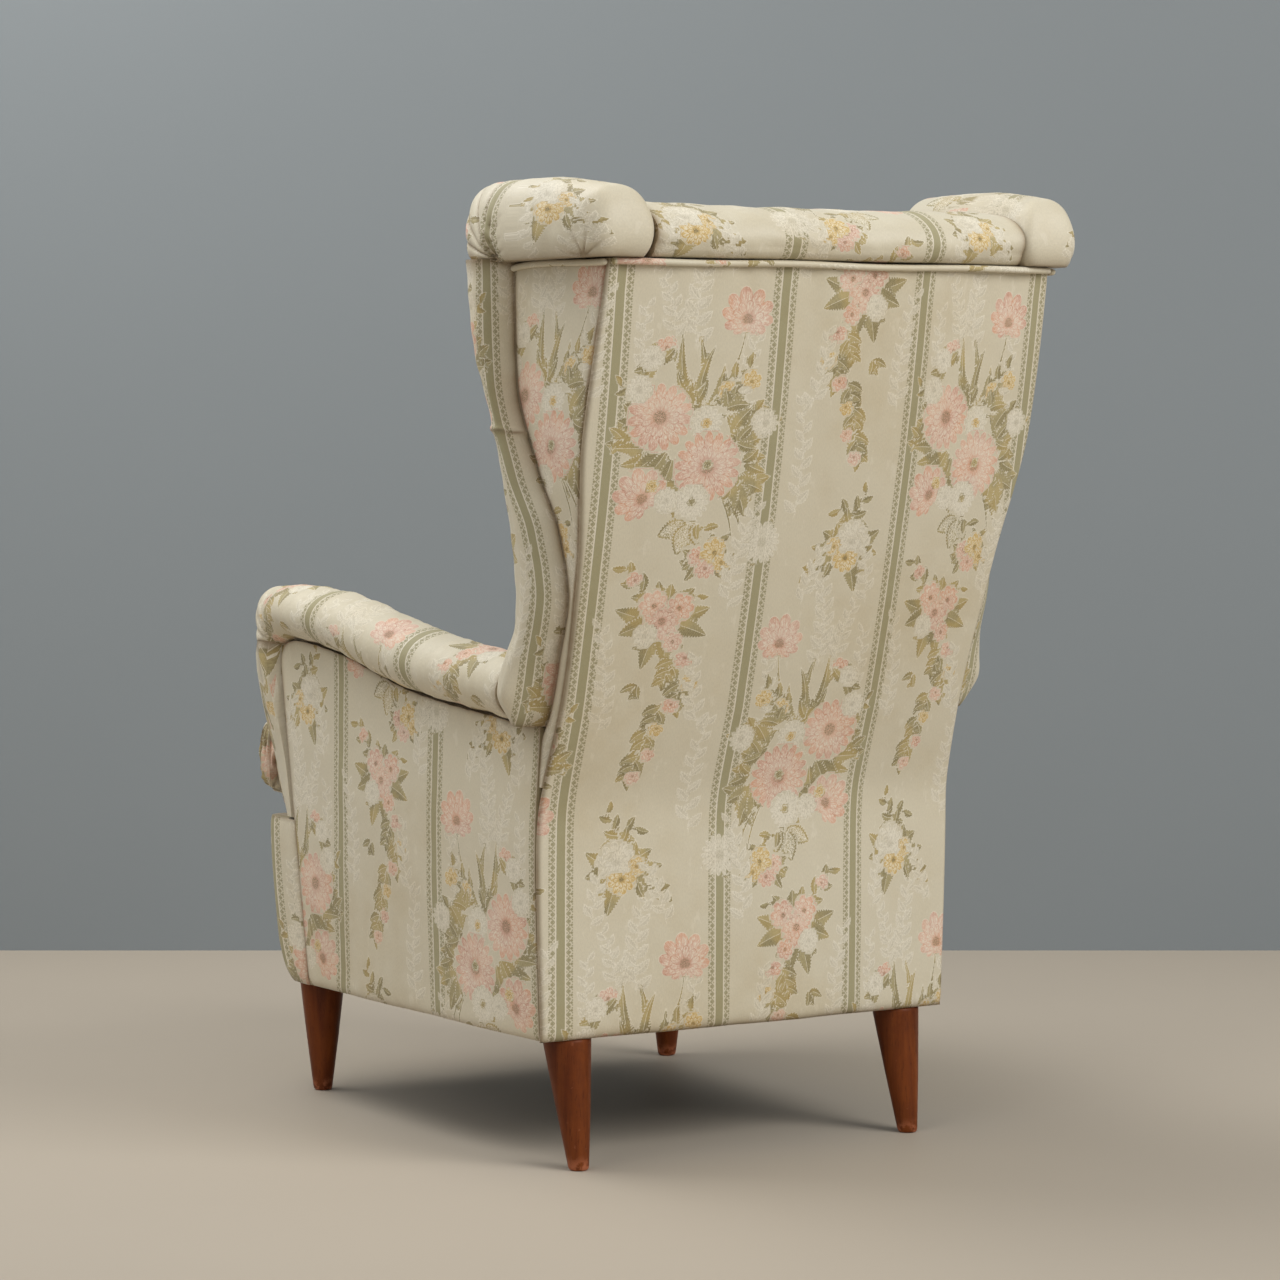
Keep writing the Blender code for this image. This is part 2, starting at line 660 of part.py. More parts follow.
def wing_ring(z, side):
    """Inner face, front roll and outer return of a wing in one C-shaped section around its board."""
    seam_y, seam_x = wing_seam_y(z) - GAP, wing_seam_x(z)
    seam_y = min(seam_y, back_y(z) - BACK_COVER - 2.5 * COVER_EDGE)
    arc = wing_arc(z)
    board = min(wing_board_front(z), post_front(z) - 0.002) - GAP
    rear = pad_rear(z)
    points = [(seam_x, seam_y)]
    if seam_y - arc[0][1] > 0.012:
        points.append(((seam_x * 0.35 + arc[0][0] * 0.65), (seam_y + arc[0][1]) / 2))
    else:
        points.append(((seam_x * 0.35 + arc[0][0] * 0.65), seam_y - 0.005))
        arc = [(x, min(y, seam_y - 0.010)) for x, y in arc]
    points += arc
    points += [(inner_x((arc[-1][1] + rear) / 2, z), (arc[-1][1] + rear) / 2), (inner_x(rear, z), rear)]
    into = frame_x(rear, z) - FRAME_T - GAP
    points += [(into, rear), (frame_x(board, z) - FRAME_T - GAP, board), (frame_x(board, z) + GAP, board),
               (frame_x(seam_y, z) + GAP, seam_y)]
    return flip([(x, y, z) for x, y in points], side)


def wing_top_ring(z, rise, side, gather):
    """Plan section of the stuffed roll over a wing; rise runs from 0 at the seam to 1 at the crest."""
    base = BACK_TOP_Z + GAP
    swell = math.sqrt(max(1.0 - rise ** 2.6, 0.0))
    rear = REAR_REACH - CROWN_SET
    lip = wing_out_x(z)
    outer = lip - CROWN_FOOT * math.exp(-max(z - base, 0.0) / CROWN_SPREAD_Z)
    inside = inner_x(0.05, min(z, BACK_TOP_Z))
    crest = (lip + inside) / 2 + 0.006
    half = (lip - inside) / 2
    inset = (1 - swell) * CROWN_INSET
    points = [(crest + (x - crest) * (swell + LAP / half), y + inset - LAP) for x, y in wing_arc(z)]
    start = points[0][1]
    ripple = [gather * math.sin(1.7 * i) for i in range(len(points))]
    points = [(x + d, y) for (x, y), d in zip(points, ripple)]
    back = rear - inset
    for f in (0.35, 0.7):
        y = start + (back - start) * f
        points.append((crest + (inner_x(y, min(z, BACK_TOP_Z)) - crest) * swell, y))
    points += [(crest + (inner_x(rear, min(z, BACK_TOP_Z)) - crest) * swell, back - 0.010),
               (crest + (inside + 0.012 - crest) * swell, back),
               (crest + (outer - 0.020 - crest) * swell, back), (crest + (outer - crest) * swell, back - 0.018)]
    for f in (0.7, 0.4, 0.12):
        y = start + (back - start) * f
        points.append((crest + (outer - crest) * swell, y))
    return flip([(x, y, z) for x, y in points], side)


def make_wing_pads(cloth):
    base = BACK_TOP_Z + GAP
    tall = WING_TOP_Z - base
    for side in (1, -1):
        name = f"wing_pad_{side_name(side)}"
        pad = loft(name, [wing_ring(z, side) for z in levels(WING_FOOT_Z, base + 0.001)], cloth)
        crown = [wing_top_ring(base + tall * rise, rise, side, gather) for rise, gather in CROWN_RINGS]
        boolean(pad, loft(name + "_crown", crown, cloth), "UNION")


# Back, deck and seat

def inside_back_profile(f):
    """Section of the inside back and its top roll at f across the chair, -1 to 1."""
    crown = BACK_CROWN * (1 - f * f)
    lift = ROLL_CROWN * (1 - f * f)
    points = []
    for z in (DECK_Z + GAP, 0.40, 0.47, 0.515, 0.56, 0.61, 0.66, 0.75, 0.85, 0.93):
        points.append((smooth(INSIDE_BACK_Y, z) - crown * min((z - DECK_Z) / 0.1, 1.0), z))
    rear = REAR_REACH
    front = points[-1][0]
    middle = (front + rear) / 2
    top = ROLL_TOP_Z - ROLL_CROWN + lift
    for a in np.radians((155, 130, 108, 90, 68, 45, 22, 0)):
        rise = (top - ROLL_WAIST_Z) * math.sin(a)
        points.append((middle + (rear - middle) * math.cos(a), ROLL_WAIST_Z + rise))
    points[-1] = (rear, ROLL_WAIST_Z)
    points += [(rear - 0.006, BACK_TOP_Z + 0.006), (rear - 0.014, BACK_TOP_Z + GAP)]
    seat = pad_rear(DECK_Z)
    points += [(pad_rear(BACK_TOP_Z), BACK_TOP_Z + GAP)]
    points += [(pad_rear(z), z) for z in reversed(levels(DECK_Z, BACK_TOP_Z)[1:-1])]
    points += [(seat, DECK_Z + GAP)]
    return points


def make_inside_back(cloth):
    rings = []
    for f in (-1.0, -0.9, -0.65, -0.33, 0.0, 0.33, 0.65, 0.9, 1.0):
        ring = []
        for y, z in inside_back_profile(f):
            reach = inner_x(y, min(z, BACK_TOP_Z)) - BACK_SIDE_EASE - GAP
            ring.append((f * reach, y, z))
        rings.append(ring)
    loft("inside_back_pad", rings, cloth)


def make_deck(cloth):
    low, high = RAIL_TOP_Z + GAP + STRAP_T + GAP, DECK_Z
    y0, y1 = FRAME_FRONT_Y, pad_rear(low)
    corners = []
    for y, side in ((y0, -1), (y0, 1), (y1, 1), (y1, -1)):
        corners.append((side * (frame_x(y, 0) - FRAME_T - GAP), y, low))
    prism("seat_deck_pad", corners, (0, 0, high - low), cloth)


def make_apron(cloth):
    """Stuffed band under the cushion's front, turned round both corners to the side seams."""
    rings = []
    for z in (under_z(FRAME_FRONT_Y), 0.150, 0.170, 0.192, 0.228, 0.264, 0.300, 0.325, DECK_Z):
        front = smooth(APRON_FRONT_Y, z)
        seam = side_front_y(z) - GAP
        outer = SIDE_FRONT_X
        half = []
        for a in np.radians(np.linspace(0, 90, 5)):
            half.append((outer - APRON_CORNER_R * (1 - math.cos(a)),
                         front + APRON_CORNER_R * (1 - math.sin(a))))
        left = [(outer, seam)] + half + [(0.12, front - 0.003)]
        ring = left + [(-x, y) for x, y in reversed(left)]
        inner = [(frame_x(seam, 0) + GAP, seam), (frame_x(FRAME_FRONT_Y, 0) + GAP, FRAME_FRONT_Y - GAP)]
        ring += [(-x, y) for x, y in inner] + [(x, y) for x, y in reversed(inner)]
        rings.append([(x, y, z) for x, y in ring])
    loft("front_apron", rings, cloth)


def cushion_outline(inset):
    """T-shaped plan of the cushion, its ears gathered."""
    ear_rear = CUSHION_FRONT_Y + CUSHION_EAR_DEPTH - 0.3 * inset
    front = CUSHION_FRONT_Y + 0.8 * inset
    rear = smooth(INSIDE_BACK_Y, DECK_Z) - BACK_CROWN - CUSHION_EASE - inset
    ear = SIDE_FRONT_X - inset

    def side(y):
        return inner_x(y, 0) - CUSHION_EASE - inset

    half = [(0.0, rear), (0.10, rear), (side(rear) - 0.03, rear), (side(rear) - 0.008, rear - 0.008),
            (side(rear - 0.03), rear - 0.03)]
    half += [(side(y), y) for y in (-0.22, -0.32, -0.42, -0.52)]
    half += [(side(ear_rear), ear_rear + 0.02), (side(ear_rear) + 0.006, ear_rear + 0.002)]
    half += [(ear - 0.010, ear_rear)]
    depth = ear_rear - front - 0.012
    for k in range(EAR_FOLDS):
        ripple = GATHER if k % 2 else -GATHER
        half.append((ear - 0.003 + ripple, ear_rear - 0.004 - depth * k / (EAR_FOLDS - 1)))
    half += [(ear - 0.012, front + 0.003), (ear - 0.035, front + 0.002), (0.17, front + 0.001), (0.08, front)]
    mirrored = [(-x, y) for x, y in reversed(half[1:])]
    return half + [(0.0, front)] + mirrored


def make_cushion(cloth):
    low = DECK_Z + 2 * GAP
    middle = (low + CUSHION_TOP_Z) / 2
    half = (CUSHION_TOP_Z - low) / 2
    rings = []
    for inset, height in CUSHION_RINGS:
        edge = min(inset, CUSHION_ROUND)
        outline = cushion_outline(edge)
        centre = (CUSHION_FRONT_Y + smooth(INSIDE_BACK_Y, DECK_Z)) / 2
        factor = 1.0 - (inset - edge) / CUSHION_SPAN
        z = middle + half * height
        rings.append([(x * factor, centre + (y - centre) * factor, z) for x, y in outline])
    loft("seat_cushion", rings, cloth)


# Piping

def piping(name, path, look):
    """Round cord along a path of points, with filled ends."""
    curve = bpy.data.curves.new(name, "CURVE")
    curve.dimensions = "3D"
    curve.bevel_depth = WELT_R
    curve.bevel_resolution = 2
    curve.use_fill_caps = True
    spline = curve.splines.new("POLY")
    spline.points.add(len(path) - 1)
    for point, place_at in zip(spline.points, path):
        point.co = (*place_at, 1.0)
    curve.materials.append(look)
    made = bpy.data.objects.new(name, curve)
    bpy.context.scene.collection.objects.link(made)
    made.parent = bpy.data.objects["chair_root"]


def make_piping(cloth):
    z = BACK_TOP_Z - WELT_R - 2 * GAP
    reach = half_width(z) - 0.006
    y = back_y(z) + 0.001 + WELT_R + GAP
    piping("back_welt", [(x, y, z) for x in np.linspace(-reach, reach, 9)], cloth)
    for side in (1, -1):
        y0, y1 = wing_seam_y(z) + 0.004, back_y(z) - BACK_COVER - 0.004
        x0, x1 = wing_seam_x(z), half_width(z)
        path = []
        for f in (0.0, 0.25, 0.5, 0.75, 1.0):
            bow = 0.001 * (1 - abs(2 * f - 1))
            path.append((side * (x0 + (x1 - x0) * f + bow + WELT_R + GAP), y0 + (y1 - y0) * f, z))
        piping(f"wing_welt_{side_name(side)}", path, cloth)


def main():
    clear_scene()
    root = bpy.data.objects.new("chair_root", None)
    root.location = (0.0, ROOT_SHIFT, 0.0)
    bpy.context.scene.collection.objects.link(root)
    legs_wood = material("stained_beech", (0.30, 0.10, 0.045), 0.38)
    frame_wood = material("raw_beech", (0.62, 0.45, 0.28), 0.7)
    rubber = material("webbing_rubber", (0.16, 0.13, 0.10), 0.8)
    metal = steel("bolt_steel")
    brocade = material("brocade", (0.78, 0.74, 0.60), 0.62)
    lining = material("black_lining", (0.05, 0.05, 0.05), 0.9)
    make_legs(legs_wood, metal)
    make_seat_frame(frame_wood)
    make_corner_blocks(frame_wood)
    make_back_rails(frame_wood)
    make_arm_frame(frame_wood)
    make_wing_boards(frame_wood)
    make_straps(rubber)
    make_outer_back(brocade)
    make_outer_wings(brocade)
    make_outer_arms(brocade)
    make_under_cover(lining)
    make_arm_pads(brocade)
    make_wing_pads(brocade)
    make_inside_back(brocade)
    make_deck(brocade)
    make_apron(brocade)
    make_cushion(brocade)
    make_piping(brocade)


main()
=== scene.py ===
"""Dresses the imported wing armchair: worn floral brocade over stuffed forms, on tapered stained legs.

Everything is in metres in the frame's axes: +Z up, -Y the way the sitter faces, +X to the sitter's left.
Outlines are drawn with y = 0 at the rear lower edge of the body, and REAR_Y moves them into the frame.
"""

import functools
import math

import bpy
import numpy as np
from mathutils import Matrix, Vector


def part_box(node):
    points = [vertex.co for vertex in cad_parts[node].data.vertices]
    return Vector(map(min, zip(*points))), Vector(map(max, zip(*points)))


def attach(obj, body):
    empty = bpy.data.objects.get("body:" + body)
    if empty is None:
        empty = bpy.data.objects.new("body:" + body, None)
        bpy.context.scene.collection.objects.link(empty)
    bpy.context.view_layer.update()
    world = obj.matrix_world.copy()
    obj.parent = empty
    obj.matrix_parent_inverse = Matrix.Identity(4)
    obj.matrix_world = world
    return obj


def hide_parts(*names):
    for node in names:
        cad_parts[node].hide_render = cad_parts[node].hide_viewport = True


bl_info = {
    "name": "Worn brocade wing armchair",
    "version": (1, 0, 0),
    "blender": (4, 5, 0),
    "location": "3D View > Sidebar > Armchair",
    "description": "Builds the covers, stuffing, piping and legs of an old wing armchair around its frame",
    "category": "Add Mesh",
}

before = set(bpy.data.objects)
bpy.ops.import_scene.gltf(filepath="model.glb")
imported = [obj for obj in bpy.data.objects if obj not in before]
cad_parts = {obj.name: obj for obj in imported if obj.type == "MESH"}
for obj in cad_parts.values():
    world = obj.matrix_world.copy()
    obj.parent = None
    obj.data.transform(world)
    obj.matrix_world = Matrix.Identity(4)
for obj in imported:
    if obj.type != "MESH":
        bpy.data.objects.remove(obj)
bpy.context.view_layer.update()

# Body heights, and the outer back's rake above its bend
REAR_CLEAR, FRONT_CLEAR = 0.144, 0.1365
DECK_Z = 0.333
BACK_TOP_Z = 0.985
BEND_Z, BEND_SOFT = 0.400, 0.025
BACK_RAKE, BACK_BOW = 0.395, 0.158
BACK_COVER = 0.006
REAR_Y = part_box("outer_back_cover")[0][1] + BACK_COVER

# Frame plane, which the covers and pads follow
FRAME_HALF_REAR, FRAME_HALF_FRONT = 0.252, 0.277
FRAME_FRONT_Y = -0.600
FRAME_T = 0.020
FRAME_FLARE, FLARE_Z = 0.060, 0.570
POST_DEPTH = 0.035
INNER_PAD = 0.015
SIDE_FRONT_X = 0.285
GAP = 0.0006

# Outlines read by smooth(): (height, value) for what stands, (y, height) for what runs along an arm
HALF_WIDTH = ((0.144, 0.263), (0.350, 0.268), (0.520, 0.260), (0.660, 0.268), (0.810, 0.285), (0.985, 0.280))
WING_SEAM_X = ((0.400, 0.2660), (0.520, 0.2610), (0.640, 0.2680), (0.760, 0.2830), (0.860, 0.2890), (0.985, 0.2890))
WING_SEAM_Y = ((0.400, -0.0066), (0.440, -0.0060), (0.470, -0.0040), (0.500, 0.012), (0.560, 0.035), (0.640, 0.065),
               (0.700, 0.059), (0.760, 0.030), (0.860, -0.008), (0.985, -0.014))
WING_FRONT_Y = ((0.487, -0.0458), (0.560, -0.034), (0.600, -0.022), (0.660, -0.017), (0.753, -0.024),
                (0.828, -0.042), (0.893, -0.068), (1.010, -0.090))
WING_OUT_X = ((0.487, 0.290), (0.525, 0.312), (0.600, 0.300), (0.700, 0.307), (0.800, 0.317), (0.900, 0.323),
              (1.020, 0.323))
INSIDE_BACK_Y = ((0.333, -0.115), (0.470, -0.115), (0.560, -0.080), (0.660, -0.030), (0.750, 0.008),
                 (0.850, 0.042), (0.950, 0.068))
ARM_SEAM_Z = ((-0.619, 0.543), (-0.570, 0.552), (-0.452, 0.541), (-0.373, 0.524), (-0.296, 0.509), (-0.200, 0.499),
              (-0.100, 0.492), (-0.046, 0.4875), (0.0, 0.4875))
ARM_TOP_Z = ((-0.650, 0.612), (-0.560, 0.618), (-0.474, 0.614), (-0.316, 0.589), (-0.216, 0.574), (-0.119, 0.565),
             (0.0, 0.560))
APRON_FRONT_Y = ((0.1365, -0.612), (0.160, -0.634), (0.192, -0.650), (0.264, -0.666), (0.333, -0.671))

# Padding
ARM_END_Y = -0.0462
ARM_FACE_Y = -0.6285
ARM_BULGE = 0.036
ARM_FRONT_PAD = 0.030
ARM_FRONT_SWELL = 0.028
ARM_INNER_DROP = 0.048
ARM_POST_LEAN = 0.170
ARM_RAIL_FRONT_Z = 0.568
ARM_LEAN_Y, ARM_LEAN_RUN = -0.450, 0.110
ARM_PLEAT_Z = 0.548
WING_FOOT_Z = 0.4878
WING_ROLL_BULGE = 0.036
WING_TOP_Z = 1.0725
WING_CREASE_Z, WING_CREASE_LENGTH = 0.803, 0.075
CROWN_FRONT_Y, CROWN_REAR_Y, CROWN_PINCH_Y = -0.0895, 0.1965, -0.014
ROLL_TOP_Z = 1.046
ROLL_REACH = 0.020
BACK_CROWN = 0.012
SIDE_FOOT_Y, SIDE_TOP_Y, SIDE_TOP_Z = -0.545, -0.619, 0.543
CUSHION_FRONT_Y = -0.7155
CUSHION_TOP_Z = 0.474
EAR_DEPTH, EAR_RIPPLE = 0.047, 0.0135

# Frames that a cover is simulated for
CLOTH_FRAMES = 20

# Legs: row, centre of the top, and how far the foot stands behind it
LEGS = (("front", 0.2445, -0.589, 0.0), ("rear", 0.217, -0.029, 0.027))

# Stage: the camera as fitted to the photo, with y from the rear lower edge; the room; and the lamps, each with its
# name, place, power and width
CAMERA_PLACE, CAMERA_LENS = (2.2215, 3.5493, 0.8256), 106.14
CAMERA_TURN, CAMERA_TILT = 149.62, 86.545
ROOM_HALF, WALL_HEIGHT, WALL_DISTANCE = 14.0, 9.0, 1.35
LAMPS = (("key_light", (-1.7, 3.4, 3.0), 110.0, 2.2), ("side_light", (3.4, 1.4, 2.6), 17.0, 2.4),
         ("top_light", (0.9, -0.9, 2.6), 44.0, 1.6))
AIM_Z = 0.5

# Cloth: width between stripes, height of a repeat, and where the pattern starts on back, side and wing
STRIPE_PITCH = 0.190
REPEAT = 0.730
BACK_START_V = 0.820
BACK_STRIPE_X = (-0.442, -0.241, -0.040, 0.137, 0.288, 0.440)
SIDE_STRIPE_Y, SIDE_PITCH = -0.229, 0.2275
SIDE_START_Z = 0.385 + REPEAT / 2
WING_START_Z = 0.965
WING_COLUMN, WING_PITCH = 0.86, 0.225


def smooth(table, value):
    """Monotone cubic through (position, value) pairs: harmonic mean slopes inside, level beyond both ends."""
    xs, ys = np.array(table, float).T
    h = np.diff(xs)
    steps = np.diff(ys) / h
    a, b = steps[:-1], steps[1:]
    total = np.where(a + b == 0, 1.0, a + b)
    slopes = np.concatenate((steps[:1], np.where(a * b > 0, 2 * a * b / total, 0.0), steps[-1:]))
    v = np.clip(value, xs[0], xs[-1])
    i = np.clip(np.searchsorted(xs, v, side="right") - 1, 0, len(xs) - 2)
    t = (v - xs[i]) / h[i]
    return ((1 + 2 * t) * (1 - t) ** 2 * ys[i] + t * (1 - t) ** 2 * h[i] * slopes[i]
            + t * t * (3 - 2 * t) * ys[i + 1] + t * t * (t - 1) * h[i] * slopes[i + 1])


def ease(value, low, high):
    """Smooth step from 0 below low to 1 above high."""
    t = np.clip((value - low) / (high - low), 0.0, 1.0)
    return t * t * (3 - 2 * t)


def squared(value, power):
    """A sine or cosine raised to a power with its sign kept, which squares a circle."""
    return np.sign(value) * np.abs(value) ** power


def fade(distance, reach):
    """1 at the distance 0, falling by powers of e."""
    return np.exp(-distance / reach)


def bell(distance, width):
    """1 at the distance 0, falling off to both sides."""
    return np.exp(-(distance / width) ** 2)


def stacked(*parts):
    """Points from their coordinates."""
    return np.stack(np.broadcast_arrays(*parts), axis=-1)


def girth_of(x, y):
    """Running length along each row of points."""
    girth = np.zeros_like(x)
    girth[:, 1:] = np.cumsum(np.hypot(np.diff(x, axis=1), np.diff(y, axis=1)), axis=1)
    return girth


def side_name(sign):
    return "left" if sign > 0 else "right"


def step_for(sizes, sign, factor=1.0):
    """Point spacing: fine on the left side, which is the one seen first."""
    return sizes.fine_step * factor if sign > 0 else sizes.coarse_step


def under_z(y):
    """Underside of the body, lower toward the front."""
    return REAR_CLEAR + (REAR_CLEAR - FRONT_CLEAR) * y / -FRAME_FRONT_Y


def back_y(z):
    """Rear face of the outer back: a soft bend, then a rake with a slight bow."""
    d = z - BEND_Z
    t = (d + np.sqrt(d * d + BEND_SOFT ** 2)) / 2
    return BACK_RAKE * t - BACK_BOW * t * t


def half_width(z):
    return smooth(HALF_WIDTH, z)


def side_x(y, z):
    """Outer face of an arm's side, wider toward the front."""
    f = np.clip(y / FRAME_FRONT_Y, 0.0, 1.0)
    return half_width(z) + (SIDE_FRONT_X - half_width(z)) * f


def frame_x(y, z):
    """Outer face of the side frame."""
    rise = np.maximum(z - FLARE_Z, 0.0)
    return FRAME_HALF_REAR + (FRAME_HALF_FRONT - FRAME_HALF_REAR) * y / FRAME_FRONT_Y + FRAME_FLARE * rise


def inner_x(y, z):
    """Padded inner face of an arm or a wing."""
    return frame_x(y, z) - FRAME_T - INNER_PAD


def pad_rear(z):
    """Plane behind the stuffing, in front of the back posts."""
    return back_y(z) - BACK_COVER - POST_DEPTH - 2 * GAP


def side_front_y(z):
    """Leaning front edge of the outer arm panel."""
    return SIDE_FOOT_Y + (SIDE_TOP_Y - SIDE_FOOT_Y) * (z - FRONT_CLEAR) / (SIDE_TOP_Z - FRONT_CLEAR)


def undulation(a, b, seed, scale):
    """Sum of six sine waves in turned directions, each shorter than the last, about -1 to 1."""
    dice = np.random.default_rng(seed)
    total = np.zeros(np.broadcast(a, b).shape)
    for k in range(6):
        turn, phase = dice.uniform(0, math.pi), dice.uniform(0, 2 * math.pi)
        wave = 2 * math.pi / (scale / (1 + 0.55 * k))
        total += np.sin(wave * (a * math.cos(turn) + b * math.sin(turn)) + phase) / (1 + 0.7 * k)
    return total / 2.2


# Brocade: each shape gives its signed distance, negative inside, and its own coordinates for the shader to draw in

def blossom(x, y, radius, count):
    """Round flower about the origin; the shader cuts its rim into petals."""
    return np.hypot(x, y) - radius, x, y, radius, count


def poppy(x, y, radius, count):
    """Flower seen from the side: a fan of petals from its base, wide above and short below."""
    base = y + 0.45 * radius
    r, angle = np.hypot(x, base), np.arctan2(x, base)
    rim = 1.45 * radius * (0.12 + 0.88 * np.cos(np.clip(angle / 1.9, -1.5, 1.5)) ** 0.6)
    return r - rim, x * 1.45 * radius / rim, base * 1.45 * radius / rim, 1.45 * radius, count


def leaf(x, y, length, width, bend):
    """Pointed leaf from the origin along +x, bent as a parabola; its half width is a power of a sine."""
    t = np.clip(x / length, 0, 1)
    off = y - bend * 4 * t * (1 - t)
    half = width / 2 * np.sin(math.pi * t ** 0.8) ** 0.8
    return np.maximum(np.abs(off) - half, np.maximum(-x, x - length)), x, off, length, -width


def stalk(x, y, length, width, bend):
    """Thin stem from the origin along +x, bent as a parabola."""
    t = np.clip(x / length, 0, 1)
    off = y - bend * 4 * t * (1 - t)
    return np.maximum(np.abs(off) - width / 2, np.maximum(-x, x - length)), x, off, length, -width


def loop_leaf(x, y, length, width, bend):
    """Broad leaf whose inside the shader leaves light, as a loop."""
    distance, along_x, off, length, width = leaf(x, y, length, width, bend)
    return distance, along_x, off, -length, width


GREEN, PINK, GOLD, WHITE = range(4)
FAR = 6.0
RING = 1.7


def spray(channel, x, y, turn, length, leaves, size, bend=0.0):
    """A stem with leaves set alternately along it, from (x, y) in direction turn (degrees)."""
    strokes = [(channel, stalk, x, y, turn, (length, 0.0021, bend))]
    a = math.radians(turn)
    for k in range(leaves):
        t = (k + 0.7) / leaves
        off = bend * 4 * t * (1 - t)
        px = x + length * t * math.cos(a) - off * math.sin(a)
        py = y + length * t * math.sin(a) + off * math.cos(a)
        side = 1 if k % 2 else -1
        grown = size * (1 - 0.35 * t)
        sizes = (grown, grown * 0.50, side * 0.0015)
        strokes.append((channel, leaf, px, py, turn + side * (48 - 10 * t), sizes))
    return strokes


def fan(channel, x, y, turns, length, width, bend=0.002):
    """Leaves that spread from one point in the given directions."""
    return [(channel, leaf, x, y, turn, (length * (1 - 0.12 * (k % 3)), width, bend if k % 2 else -bend))
            for k, turn in enumerate(turns)]


def mark(channel, shape, x, y, turn, sizes):
    return [(channel, shape, x, y, turn, sizes)]


def blades(x, y, turns):
    """Long narrow leaves side by side, each with its own direction and length."""
    return [(GREEN, leaf, x + 0.003 * k, y, turn, (length, 0.0105, 0.007 if k % 2 else -0.006))
            for k, (turn, length) in enumerate(turns)]


def trail(places):
    """Hanging sprays, each with a bud beside it."""
    strokes = []
    for k, (x, y) in enumerate(places):
        strokes += spray(GREEN, x, y, 250 + 14 * (k % 2), 0.034, 6, 0.023, 0.002)
        strokes += mark(GOLD if k % 2 else PINK, poppy, x + 0.012, y - 0.004, 160, (0.0085 - 0.0005 * k, 6))
    return strokes


